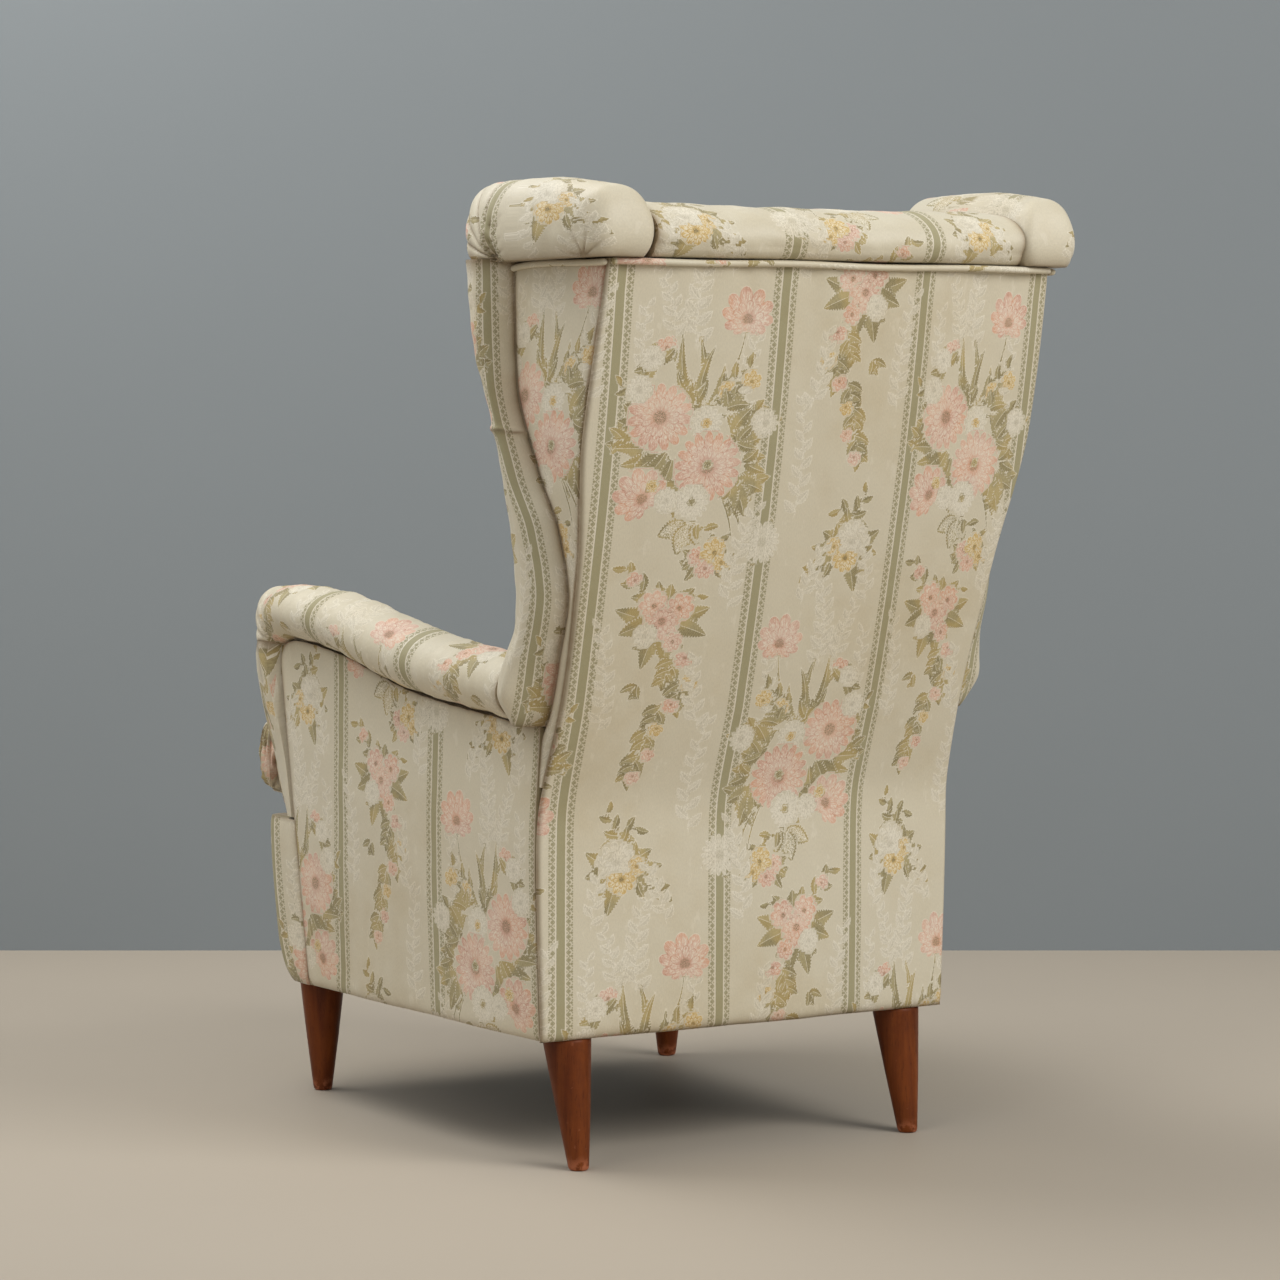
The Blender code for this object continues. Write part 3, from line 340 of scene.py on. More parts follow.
# One repeat of the cloth in drawing order, from its poppy at height 0 downward; x is 0 midway between two stripes.
# spray: channel, x, y, turn, length, leaves, size, bend. fan: channel, x, y, turns, length, width.
# mark: channel, shape, x, y, turn, sizes.
REPEAT_FIGURES = (
    (spray, WHITE, -0.006, -0.045, 84, 0.105, 12, 0.024, 0.006),
    (spray, WHITE, -0.030, -0.040, 104, 0.070, 9, 0.019, -0.004),
    (spray, WHITE, 0.058, -0.120, 84, 0.085, 9, 0.018, 0.005),
    (spray, WHITE, -0.060, -0.080, 92, 0.080, 9, 0.018, 0.004),
    (fan, WHITE, 0.052, -0.036, (40, 66, 92, 118), 0.042, 0.006),
    (mark, GREEN, stalk, 0.006, -0.118, 66, (0.112, 0.0017, -0.012)),
    (mark, GREEN, stalk, 0.004, -0.118, 120, (0.090, 0.0015, -0.008)),
    (fan, GREEN, 0.048, -0.018, (165, 205, 325, 350), 0.017, 0.007),
    (mark, PINK, poppy, 0.052, -0.006, 0, (0.025, 11)),
    (mark, PINK, poppy, -0.040, -0.044, 20, (0.009, 6)),
    (blades, -0.004, -0.120, ((114, 0.078), (103, 0.090), (92, 0.085), (81, 0.076), (69, 0.060), (126, 0.062))),
    (fan, GREEN, -0.050, -0.064, (40, 100, 150, 200, 250), 0.026, 0.012),
    (mark, WHITE, blossom, -0.054, -0.058, 0, (0.012, 11)),
    (spray, GREEN, 0.018, -0.108, 44, 0.062, 6, 0.022, 0.004),
    (spray, GREEN, 0.030, -0.120, 12, 0.055, 5, 0.021, -0.004),
    (spray, GREEN, -0.050, -0.100, 160, 0.042, 5, 0.018, 0.004),
    (mark, GOLD, blossom, 0.036, -0.093, 0, (0.010, 7)),
    (mark, GOLD, poppy, 0.064, -0.080, -20, (0.009, 7)),
    (fan, GREEN, -0.056, -0.134, (135, 165, 190, 215), 0.038, 0.018),
    (fan, GREEN, 0.044, -0.140, (25, 52, -2, -28), 0.040, 0.017),
    (fan, GREEN, -0.022, -0.168, (184, 206, 228, 250), 0.056, 0.019),
    (fan, GREEN, 0.052, -0.192, (6, -18, -42, -66, -88), 0.044, 0.019),
    (fan, GREEN, -0.004, -0.192, (262, 236, 214, 288), 0.048, 0.019),
    (fan, GREEN, 0.062, -0.170, (-24, 10, 44), 0.030, 0.013),
    (fan, GREEN, -0.076, -0.150, (140, 180, 215), 0.026, 0.012),
    (fan, GREEN, 0.036, -0.112, (70, 34, 100, 8), 0.027, 0.012),
    (fan, GREEN, -0.004, -0.108, (60, 98, 128), 0.026, 0.011),
    (fan, GREEN, -0.030, -0.160, (176, 196, 214, 232), 0.060, 0.017),
    (fan, GREEN, -0.014, -0.206, (196, 226, 252), 0.030, 0.015),
    (fan, GREEN, 0.052, -0.150, (14, 46, -14), 0.032, 0.011),
    (mark, PINK, blossom, -0.040, -0.122, 20, (0.036, 15)),
    (mark, WHITE, blossom, -0.066, -0.092, 0, (0.014, 11)),
    (mark, WHITE, blossom, 0.014, -0.128, 0, (0.018, 13)),
    (mark, GOLD, blossom, 0.014, -0.128, 0, (0.0045, 5)),
    (mark, PINK, blossom, 0.020, -0.176, 8, (0.038, 17)),
    (mark, GREEN, blossom, 0.020, -0.174, 0, (0.0045, 5)),
    (mark, PINK, poppy, -0.058, -0.204, 40, (0.025, 11)),
    (mark, GOLD, blossom, -0.042, -0.197, 0, (0.0060, 7)),
    (mark, WHITE, blossom, 0.006, -0.216, 0, (0.020, 15)),
    (mark, GREEN, blossom, 0.006, -0.215, 0, (0.0035, 5)),
    (mark, WHITE, blossom, -0.024, -0.214, 0, (0.013, 12)),
    (mark, GREEN, loop_leaf, 0.003, -0.238, 205, (0.036, 0.021, 0)),
    (mark, GREEN, loop_leaf, 0.004, -0.240, 255, (0.036, 0.023, 0)),
    (mark, GREEN, loop_leaf, 0.010, -0.240, -70, (0.028, 0.014, 0)),
    (spray, GREEN, 0.008, -0.238, -34, 0.056, 5, 0.019, 0.004),
    (mark, GREEN, stalk, 0.040, -0.210, -70, (0.052, 0.0017, 0.003)),
    (mark, GREEN, stalk, 0.048, -0.212, -62, (0.050, 0.0017, 0.002)),
    (fan, GREEN, 0.020, -0.284, (140, 172, 205, 240), 0.024, 0.010),
    (fan, GREEN, 0.046, -0.286, (-4, -34, -64, 26), 0.024, 0.010),
    (mark, PINK, blossom, 0.022, -0.276, 0, (0.011, 8)),
    (mark, GOLD, poppy, 0.037, -0.270, 50, (0.012, 8)),
    (mark, GOLD, blossom, 0.050, -0.284, 100, (0.010, 8)),
    (mark, PINK, poppy, 0.030, -0.293, 150, (0.009, 8)),
    (spray, GREEN, -0.014, -0.330, 138, 0.066, 6, 0.024, 0.004),
    (spray, GREEN, -0.012, -0.345, 30, 0.050, 5, 0.018, 0.003),
    (fan, GREEN, -0.012, -0.350, (15, 48, 82, 165, 196, 226, 252, 280, 312, 342), 0.058, 0.022),
    (mark, PINK, blossom, -0.012, -0.350, 0, (0.021, 9)),
    (mark, PINK, poppy, -0.026, -0.328, 40, (0.013, 8)),
    (mark, PINK, poppy, 0.010, -0.332, -40, (0.013, 8)),
    (mark, PINK, blossom, 0.004, -0.374, 0, (0.011, 7)),
    (mark, WHITE, blossom, -0.030, -0.366, 0, (0.013, 10)),
    (mark, PINK, poppy, -0.050, -0.300, 30, (0.007, 5)),
    (trail, ((0.008, -0.392), (0.018, -0.420), (0.000, -0.446), (-0.012, -0.474), (-0.016, -0.504))),
    (mark, PINK, poppy, -0.018, -0.534, 180, (0.0070, 5)),
    (fan, GREEN, -0.030, -0.424, (200, 240, 280), 0.022, 0.009),
    (spray, GREEN, -0.050, -0.610, 22, 0.050, 5, 0.024, 0.003),
    (spray, GREEN, -0.020, -0.612, 118, 0.048, 5, 0.020, 0.002),
    (fan, GREEN, -0.024, -0.640, (8, 34, 62, 150, 184, 215, 250, 330), 0.050, 0.020),
    (spray, GREEN, -0.010, -0.650, -20, 0.046, 5, 0.018),
    (mark, GOLD, blossom, -0.024, -0.647, 0, (0.0165, 9)),
    (mark, WHITE, poppy, -0.030, -0.622, 0, (0.017, 11)),
    (mark, GOLD, poppy, -0.004, -0.632, -50, (0.008, 6)),
    (fan, GREEN, 0.095, -0.262, (70, 115, 200, 250, 330), 0.030, 0.012),
    (fan, GREEN, 0.086, -0.128, (20, 160, 260), 0.020, 0.009),
    (mark, WHITE, blossom, 0.095, -0.262, 0, (0.023, 17)),
    (mark, WHITE, blossom, 0.084, -0.128, 0, (0.015, 12)),
    (spray, WHITE, 0.064, -0.340, 80, 0.120, 13, 0.021, 0.008),
    (spray, WHITE, -0.070, -0.480, 96, 0.130, 14, 0.020, -0.007),
    (spray, WHITE, 0.056, -0.600, 88, 0.130, 13, 0.022, 0.006),
    (spray, WHITE, -0.060, -0.700, 78, 0.080, 9, 0.018, 0.003),
    (spray, WHITE, 0.050, -0.480, 100, 0.090, 10, 0.020, 0.006),
    (spray, WHITE, 0.030, -0.700, 110, 0.070, 8, 0.018, -0.004),
)
STROKES = [stroke for draw, *values in REPEAT_FIGURES for stroke in draw(*values)]


def brocade_figures(u, v):
    """Figures at cloth points: which colour each has, its distance, its own coordinates, size and petal count.

    Odd columns are mirrored and dropped by half a repeat. A later figure lies on an earlier one where they overlap,
    and outside all figures the nearest one counts. Lengths are in millimetres, and a leaf's size is negative.
    """
    paint = np.zeros((u.size, 4))
    distance = np.full(u.size, FAR)
    own = np.zeros((u.size, 2))
    size = np.zeros((u.size, 2))
    columns = range(int(math.floor(u.min() / STRIPE_PITCH)) - 1, int(math.floor(u.max() / STRIPE_PITCH)) + 2)
    for column in columns:
        odd = column % 2
        near_column = np.abs(u - (column + 0.5) * STRIPE_PITCH) < STRIPE_PITCH
        for row in range(int(math.floor(v.min() / REPEAT)), int(math.ceil(v.max() / REPEAT)) + 2):
            low = row * REPEAT - odd * REPEAT / 2
            pick = np.nonzero(near_column & (v < low + 0.10) & (v > low - REPEAT - 0.05))[0]
            if pick.size == 0:
                continue
            x = (u[pick] - (column + 0.5) * STRIPE_PITCH) * (-1 if odd else 1)
            y = v[pick] - low
            for channel, shape, x0, y0, turn, sizes in STROKES:
                reach = sizes[0] * 1.5 + 0.006
                close = np.nonzero((np.abs(x - x0) < reach) & (np.abs(y - y0) < reach))[0]
                if close.size == 0:
                    continue
                c, s = math.cos(math.radians(turn)), math.sin(math.radians(turn))
                dx, dy = x[close] - x0, y[close] - y0
                off, own_x, own_y, length, count = shape(dx * c + dy * s, dy * c - dx * s, *sizes)
                off = off * 1000
                over = (off < RING) | (off < distance[pick[close]])
                at = pick[close][over]
                distance[at] = off[over]
                paint[at] = np.eye(4)[channel]
                own[at] = np.column_stack((own_x[over], own_y[over])) * 1000
                size[at] = (length * 1000, count if count > 0 else count * 1000)
    return paint, np.clip(distance, -FAR, FAR), own, size


# Meshes

def grid_faces(rows, columns):
    """Quads of a grid whose columns close into a ring."""
    a = np.arange(rows - 1)[:, None] * columns + np.arange(columns)[None, :]
    b = np.arange(rows - 1)[:, None] * columns + (np.arange(columns)[None, :] + 1) % columns
    return stacked(a, b, b + columns, a + columns).reshape(-1, 4)


def solid(name, points, look, cloth=None, shade_and_grime=None):
    """Closed mesh from rings: points has shape (rings, points on a ring, 3), and both ends get one flat face.

    cloth holds the pattern's coordinates per point in metres, from which the figures are drawn, and the last argument
    the painted shade and the dirt in seams, creases and folds, from 0 to 1.
    """
    rows, columns = points.shape[:2]
    co = points.reshape(-1, 3) + (0.0, REAR_Y, 0.0)
    faces = grid_faces(rows, columns)
    corner = co[faces]
    volume = np.einsum("ij,ij->i", corner[:, 0], np.cross(corner[:, 1], corner[:, 2])).sum()
    volume += np.einsum("ij,ij->i", corner[:, 0], np.cross(corner[:, 2], corner[:, 3])).sum()
    first, last = list(range(columns))[::-1], list(range((rows - 1) * columns, rows * columns))
    if volume < 0:
        faces, first, last = faces[:, ::-1], first[::-1], last[::-1]
    mesh = bpy.data.meshes.new(name)
    mesh.from_pydata(co.tolist(), [], faces.tolist() + [first, last])
    mesh.shade_smooth()
    mesh.set_sharp_from_angle(angle=math.radians(60))
    if cloth is not None:
        # Painted shade in seams, creases and fold valleys, with some dirt there, from 0 to 1
        dirt = np.zeros(points.shape[:2]) if shade_and_grime is None else shade_and_grime
        dirt = np.clip(np.broadcast_to(dirt, points.shape[:2]), 0, 1)
        paint(mesh, cloth.reshape(-1, 2), dirt.ravel())
    return finished(name, mesh, look)


def paint(mesh, cloth, shade_and_grime):
    """Stores the cloth's coordinates, the painted shade and dirt in its seams and folds, and the figures drawn there
    as attributes of the points.
    """
    u, v = cloth[:, 0], cloth[:, 1]
    colours, distance, own, size = brocade_figures(u, v)
    for name, values in (("cloth", np.column_stack((u, v, shade_and_grime))), ("figure", np.column_stack((own, distance))),
                         ("size", np.column_stack((size, np.zeros_like(u))))):
        made = mesh.attributes.new(name, "FLOAT_VECTOR", "POINT")
        made.data.foreach_set("vector", values.astype(np.float32).ravel())
    made = mesh.attributes.new("threads", "FLOAT_COLOR", "POINT")
    made.data.foreach_set("color", colours.astype(np.float32).ravel())


def linked(name, data, place=(0.0, 0.0, 0.0), rotation=(0.0, 0.0, 0.0)):
    made = bpy.data.objects.new(name, data)
    made.location, made.rotation_euler = place, rotation
    bpy.context.scene.collection.objects.link(made)
    return made


def finished(name, mesh, look):
    mesh.materials.append(look)
    return linked(name, mesh)


def stand_for(made, slot, *nodes, fill=None):
    """The piece rides on the chair and stands for its nodes, which it hides. The slot is not used."""
    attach(made, "root")
    if nodes:
        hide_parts(*nodes)
    return made


def spread(fine, coarse, period=None):
    """Weights that carry values at the coarse positions to the fine ones by straight lines between neighbours."""
    known = np.append(coarse, period) if period else coarse
    right = np.clip(np.searchsorted(known, fine, side="right"), 1, len(known) - 1)
    share = (fine - known[right - 1]) / (known[right] - known[right - 1])
    weights = np.zeros((len(fine), len(coarse)))
    weights[np.arange(len(fine)), right - 1] += 1 - share
    weights[np.arange(len(fine)), right % len(coarse)] += share
    return weights


def inflated(points, pinned, cap, stride=3, slack=0.04, pressure=4.0):
    """Cloth simulation of a form given as rings: a cover cut a little too large is blown up from inside.

    Every third ring and point is simulated, pinned ones stay as seams, and no point moves further than the cap.
    The movement is then spread over all the points and softened.
    """
    scene = bpy.context.scene
    rows = np.unique(np.append(np.arange(0, points.shape[0], stride), points.shape[0] - 1))
    columns = np.arange(0, points.shape[1], stride)
    start = points[np.ix_(rows, columns)]
    count = len(columns)
    faces = grid_faces(len(rows), count).tolist()
    faces += [list(range(count))[::-1], list(range((len(rows) - 1) * count, len(rows) * count))]
    mesh = bpy.data.meshes.new("cover_form")
    mesh.from_pydata(start.reshape(-1, 3).tolist(), [], faces)
    form = linked("cover_form", mesh)
    seams = form.vertex_groups.new(name="seams")
    seams.add(np.nonzero(pinned[np.ix_(rows, columns)].ravel())[0].tolist(), 1.0, "REPLACE")
    cloth = form.modifiers.new("cloth", "CLOTH")
    cloth.settings.vertex_group_mass = "seams"
    cloth.settings.use_pressure = True
    cloth.settings.uniform_pressure_force = pressure
    cloth.settings.shrink_min = -slack
    cloth.settings.effector_weights.gravity = 0.0
    for step in range(1, CLOTH_FRAMES + 1):
        scene.frame_set(step)
    end = np.empty(start.size, np.float32)
    form.evaluated_get(bpy.context.evaluated_depsgraph_get()).data.vertices.foreach_get("co", end)
    bpy.data.objects.remove(form)
    bpy.data.meshes.remove(mesh)
    scene.frame_set(1)
    move = end.reshape(start.shape) - start
    move *= np.minimum(1.0, cap / np.maximum(np.linalg.norm(move, axis=-1, keepdims=True), 1e-9))
    across = spread(np.arange(points.shape[0]), rows)
    along_ring = spread(np.arange(points.shape[1]), columns, points.shape[1])
    move = np.einsum("ar,rck,bc->abk", across, move, along_ring)
    for _ in range(2):
        move = (np.roll(move, 1, axis=1) + move + np.roll(move, -1, axis=1)) / 3
        move[1:-1] = (move[:-2] + move[1:-1] + move[2:]) / 3
    return points + move


def steps(low, high, step):
    """Evenly spaced values from low to high, no further apart than step."""
    return np.linspace(low, high, max(int(math.ceil((high - low) / step)), 2) + 1)


def along(values):
    """Running length of a curve given as points in rows."""
    return np.concatenate(([0.0], np.cumsum(np.linalg.norm(np.diff(values, axis=0), axis=1))))


def evenly(curve, count, endpoint=True):
    """Points at even distances along a flat curve, and their running length."""
    length = along(curve)
    even = np.linspace(0, length[-1], count, endpoint=endpoint)
    return np.column_stack([np.interp(even, length, values) for values in curve.T]), even


def tube(name, path, radius, look, sides=10, v0=0.0):
    """Round cord along a path: circles across the path's direction, with domed ends."""
    path = np.asarray(path, float)
    ahead = np.gradient(path, axis=0)
    ahead /= np.linalg.norm(ahead, axis=1)[:, None]
    up = np.array((0.0, 0.0, 1.0)) - ahead * ahead[:, 2:]
    up /= np.linalg.norm(up, axis=1)[:, None]
    across = np.cross(ahead, up)
    turn = np.linspace(0, 2 * math.pi, sides, endpoint=False)
    cos, sin = np.cos(turn)[None, :, None], np.sin(turn)[None, :, None]
    circle = (cos * up[:, None] + sin * across[:, None]) * radius
    caps = np.radians((60, 35))
    first = [path[0] - ahead[0] * radius * math.sin(a) + circle[0] * math.cos(a) for a in caps]
    last = [path[-1] + ahead[-1] * radius * math.sin(a) + circle[-1] * math.cos(a) for a in caps[::-1]]
    rings = np.concatenate((np.array(first), path[:, None] + circle, np.array(last)))
    length = along(rings.mean(axis=1))
    cloth = np.empty(rings.shape[:2] + (2,))
    cloth[..., 0] = STRIPE_PITCH * 0.11 + turn[None, :] * radius
    cloth[..., 1] = v0 + length[:, None]
    return solid(name, rings, look, cloth)


def band_ring(count, inner, edge):
    """Outline of a thin panel's section as shares: position -1 to 1 across, and depth behind the outer face.

    The outer face runs across, both edges turn through a quarter circle, and the inner face runs back.
    """
    face = np.linspace(-1, 1, count)
    turn = np.radians(np.linspace(18, 90, 5))
    around = np.column_stack((np.sin(turn), 1 - np.cos(turn))) * edge
    back = np.linspace(1, -1, inner)
    share = np.concatenate((face, np.ones(5), back, -np.ones(5)))
    side = np.concatenate((np.zeros(count), around[:, 0], np.zeros(inner), -around[::-1, 0]))
    depth = np.concatenate((np.zeros(count), around[:, 1], np.full(inner, BACK_COVER), around[::-1, 1]))
    side[count + 5] = edge
    side[count + 4 + inner] = -edge
    return share, side, depth


# Covers

def column_of(x, z):
    """Stripe index on the back: 0 at the left stripe and rising to the right, the cloth leaning a little."""
    lean = 0.022 * np.clip((z - 0.5) / 0.45, 0, 1)
    return np.interp(lean - x, BACK_STRIPE_X, range(-1, len(BACK_STRIPE_X) - 1))


def make_outer_back(sizes, cloth_look):
    """The back: rows follow its rake, and its face bows, puckers under the welt and slackens at the foot."""
    step = sizes.fine_step
    edge = 0.005
    share, side, depth = band_ring(int(2 * 0.27 / step), 30, edge)
    z = steps(REAR_CLEAR - 0.001, BACK_TOP_Z - 0.001, step)[:, None]
    width = half_width(z) - edge
    x = share * width + side
    face = bell(depth, 0.002) * (1 - share ** 8)
    top = fade(BACK_TOP_Z - z, 0.035)
    foot = fade(z - REAR_CLEAR, 0.05)
    pull = np.sin(2 * math.pi * x / 0.046 + 1.5 * np.sin(9 * x)) * top * sizes.pucker
    slack = undulation(x, z * 0.45, 3, 0.30) * 0.0014 + undulation(x, z, 4, 0.11) * 0.0004
    hang = undulation(x, z * 0.2, 5, 0.12) * foot * 0.0016
    y = back_y(z) - depth + face * (0.0035 * (1 - share ** 2) + pull + slack + hang)
    y = y - (0.002 * top + 0.004 * fade(z - REAR_CLEAR, 0.004)) * (depth < 0.004)
    points = stacked(x, y, z)
    v = along(np.column_stack((back_y(z[:, 0]), z[:, 0])))[:, None] - BACK_START_V
    cloth = stacked(column_of(x, z) * STRIPE_PITCH, v)
    # Painted shade with some dirt: darker along the turned edges, at the hem and under the welt
    shade_and_grime = np.clip(depth / 0.003, 0, 1) * 0.9 + 0.7 * fade(z - REAR_CLEAR, 0.004)
    shade_and_grime = shade_and_grime + 0.35 * fade(BACK_TOP_Z - z, 0.006)
    made = solid("outer_back", points, cloth_look, cloth, shade_and_grime)
    return stand_for(made, "brocade", "outer_back_cover")


def make_outer_wing(sizes, cloth_look, sign):
    """Panel behind a wing's seam: straight from the seam to the back's edge in plan, with a slight belly."""
    step = step_for(sizes, sign)
    share, side, depth = band_ring(int(0.19 / step), 12, 0.003)
    z = steps(0.4215, BACK_TOP_Z - 0.001, step)[:, None]
    y1 = back_y(z) - BACK_COVER - GAP
    y0 = np.minimum(smooth(WING_SEAM_Y, z), y1 - 0.005)
    x0, x1 = smooth(WING_SEAM_X, z), half_width(z) - 0.0005
    run = np.hypot(y1 - y0, x1 - x0)
    ty, tx = (y1 - y0) / run, (x1 - x0) / run
    s = (share + 1) / 2
    edge = np.minimum(0.003, run * 0.3)
    s_in = edge / run
    f = s_in + s * (1 - 2 * s_in) + side / 0.003 * s_in
    wide = ease(run, 0.02, 0.08)
    belly = (4 * s * (1 - s) * 0.0028 + undulation(s * run, z * 0.35, 11, 0.09) * 0.0011) * wide
    out = belly * bell(depth, 0.002) - depth * np.clip(run / 0.012, 0.3, 1)
    x = x0 + (x1 - x0) * f + out * ty
    y = y0 + (y1 - y0) * f - out * tx
    points = stacked(sign * x, y, z)
    column = WING_COLUMN - (1 - f) * run / WING_PITCH
    cloth = stacked(column * STRIPE_PITCH, z - WING_START_Z)
    name = side_name(sign)
    # Painted shade with some dirt: darker along the seams at both edges and under the top
    shade_and_grime = fade((1 - np.abs(share)) * run, 0.006) + fade(BACK_TOP_Z - z, 0.005)
    made = solid(f"outer_wing_{name}", points, cloth_look, cloth, shade_and_grime)
    return stand_for(made, "brocade", f"outer_wing_cover_{name}")


def make_outer_arm(sizes, cloth_look, sign):
    """Side below an arm: from the rear corner to the leaning front edge, its top following the arm's seam."""
    step = step_for(sizes, sign, 1.08)
    share, side, depth = band_ring(int(0.60 / step), 40, 0.004)
    t = steps(0.0, 1.0, step / 0.37)[:, None]
    s = (share + 1) / 2
    rear = -BACK_COVER - 0.0016
    bottom_y = rear + (SIDE_FOOT_Y - rear) * s
    low = under_z(bottom_y)
    guess_y = rear + (SIDE_TOP_Y - rear) * s
    corner = np.clip((SIDE_TOP_Y + 0.030 - guess_y) / 0.030, 0, 1)
    high = smooth(ARM_SEAM_Z, guess_y) - 0.0012 - 0.022 * (1 - np.sqrt(1 - 0.96 * corner ** 2))
    z = low + (high - low) * t
    front = side_front_y(z)
    y = rear + (front - rear) * s - side
    slack = undulation(y, z * 0.5, 21, 0.20) * 0.0015 + undulation(y, z, 22, 0.08) * 0.0004
    border = (1 - share ** 10) * bell(depth, 0.002)
    gather = np.sin(2 * math.pi * y / 0.034) * fade(high - z, 0.02) * 0.0008
    hem = fade(z - low, 0.004) * 0.003
    x = side_x(y, z) - depth + border * (0.002 + slack + gather) - hem * (depth < 0.003) * 0.8
    points = stacked(sign * x, y, z)
    column = 1 + (y - SIDE_STRIPE_Y) / SIDE_PITCH
    cloth = stacked(column * STRIPE_PITCH, z - SIDE_START_Z + REPEAT)
    name = side_name(sign)
    # Painted shade with some dirt: darker at the side edges, under the arm roll and at the hem
    shade_and_grime = fade((1 - np.abs(share)) * 0.3, 0.0025) + fade(high - z, 0.003) + 0.6 * fade(z - low, 0.004)
    made = solid(f"outer_arm_{name}", points, cloth_look, cloth, shade_and_grime)
    return stand_for(made, "brocade", f"outer_arm_cover_{name}")


# Arms

def arm_y(q, z):
    """y of an arm section at height z: sections lean with the front post."""
    blend = np.clip((ARM_LEAN_Y - q) / ARM_LEAN_RUN, 0.0, 1.0)
    return q + blend * ARM_POST_LEAN * (ARM_RAIL_FRONT_Z - z)


def make_arm_pad(sizes, cloth_look, sign):
    """Roll and inner face of an arm: J-shaped sections along the arm, then a stuffed front that closes in.

    The roll is a circle's arc from the seam over the top, the inner side a quarter ellipse and a nearly straight
    fall to the seat. At the front the section shrinks along a quarter circle and is gathered at the seam's corner.
    """
    step = step_for(sizes, sign, 1.15)
    n_roll, n_over, n_face, n_back = int(0.16 / step), int(0.07 / step), int(0.20 / step), 14
    a_roll = np.radians(np.linspace(-66, 90, n_roll))
    a_over = np.radians(np.linspace(90, 180, n_over + 1)[1:])
    fall = np.linspace(0, 1, n_face + 1)[1:]
    q_body = steps(ARM_FACE_Y, ARM_END_Y, step)[::-1]
    phi = np.radians(np.linspace(0, 90, int(0.045 / step)))
    q = np.concatenate((q_body, ARM_FACE_Y - ARM_FRONT_PAD * np.sin(phi[1:])))[:, None]
    out = np.concatenate((np.zeros(len(q_body)), np.sin(phi[1:])))[:, None]
    shrink = np.concatenate((np.zeros(len(q_body)), 0.020 * (1 - np.cos(phi[1:]))))[:, None]
    seam, top = smooth(ARM_SEAM_Z, q), smooth(ARM_TOP_Z, q) - shrink
    middle = frame_x(q, 0) - FRAME_T / 2 + 0.004
    outer = side_x(q, seam) + ARM_BULGE * (1 - 0.42 * ease(-q, 0.540, 0.645)) - shrink * 0.8
    inside = inner_x(q, 0) + shrink
    half = (top - seam) / 2
    flush = ease(-q, 0.6186, 0.6400)
    x_roll, z_roll = middle + (outer - middle) * np.cos(a_roll), seam + half + half * np.sin(a_roll)
    x_roll = x_roll + flush * (outer - x_roll) * (a_roll < 0)
    x_over = middle + (middle - inside) * np.cos(a_over)
    z_over = top - ARM_INNER_DROP + ARM_INNER_DROP * np.sin(a_over)
    low = DECK_Z + GAP
    z_face = (top - ARM_INNER_DROP) * (1 - fall) + low * fall
    x_face = inside - 0.004 * np.sin(math.pi * fall)
    is_front = (out > 0).astype(float)
    back = np.linspace(0, 1, n_back)
    into, post_out = frame_x(q, 0) - FRAME_T - GAP, frame_x(q, 0) + GAP
    rail = seam + 0.004
    side_line = side_x(q, DECK_Z + 0.07) - shrink * 0.6
    over_rail = into + (post_out - into) * (back - 0.34) / 0.33
    notch_x = np.where(back < 0.34, into, np.where(back < 0.67, over_rail, post_out))
    up, down = low + (rail - DECK_Z) * back / 0.34, rail + (seam - rail) * (back - 0.67) / 0.33
    notch_z = np.where(back < 0.34, up, np.where(back < 0.67, rail, down))
    face_z = np.where(back < 0.3, low, low + (seam - 0.012 - DECK_Z) * (back - 0.3) / 0.7)
    side_line = side_line + flush * (outer - side_line) * ease(face_z, DECK_Z + 0.05, seam)
    face_x = np.where(back < 0.3, inside + (side_line - inside) * (back + 0.08) / 0.38, side_line)
    x = np.concatenate((x_roll, x_over, x_face, notch_x * (1 - is_front) + face_x * is_front), axis=1)
    z = np.concatenate((z_roll, z_over, z_face, notch_z * (1 - is_front) + face_z * is_front), axis=1)
    belly = np.sin(math.pi * np.clip((z - DECK_Z) / (ARM_RAIL_FRONT_Z - DECK_Z), 0, 1))
    y = arm_y(q, z)
    x = x + frame_x(y, 0) - frame_x(q, 0)
    y = y - ARM_FRONT_SWELL * out * belly
    y = y + (smooth(WING_FRONT_Y, z) - WING_FRONT_Y[0][1]) * ease(q, -0.100, ARM_END_Y)

    girth = girth_of(x, z)
    soft = np.zeros_like(x)
    n_seen = n_roll + n_over + n_face
    soft[:, :n_seen] = 1.0
    facing = np.concatenate((a_roll, a_over, np.full(n_face, math.pi), np.zeros(n_back)))
    wrinkle = undulation(y * 1.6, girth * 0.5, 31, 0.10) * 0.0013 * soft
    dy, dz = SIDE_TOP_Y + 0.006 - y, z - ARM_PLEAT_Z
    reach = np.hypot(dy, dz)
    ray = np.arctan2(dz, dy)
    pleat = np.abs(np.sin(ray * 7.0 + 0.4)) ** 0.55 - 0.62
    near = bell(reach, 0.060) * ease(-y, 0.600, 0.630) * (facing < 1.8)
    near = near * np.where(np.arange(x.shape[1]) < n_seen, 1.0, flush * ease(z, DECK_Z, DECK_Z + 0.06))
    swell = wrinkle + pleat * near * 0.0048
    x = x + swell * np.cos(facing)
    z = z + swell * np.sin(facing)
    x = x - 0.004 * fade(girth, 0.006) * soft * (1 - flush)
    # Painted shade with some dirt: darker at the seam, at the rear end, in the pleat valleys and at their corner
    shade_and_grime = fade(girth, 0.004) * soft + 0.8 * fade(ARM_END_Y - q, 0.005)
    shade_and_grime = shade_and_grime + 1.2 * near * np.clip(-pleat * 1.6, 0, 1) + flush * bell(reach, 0.010)

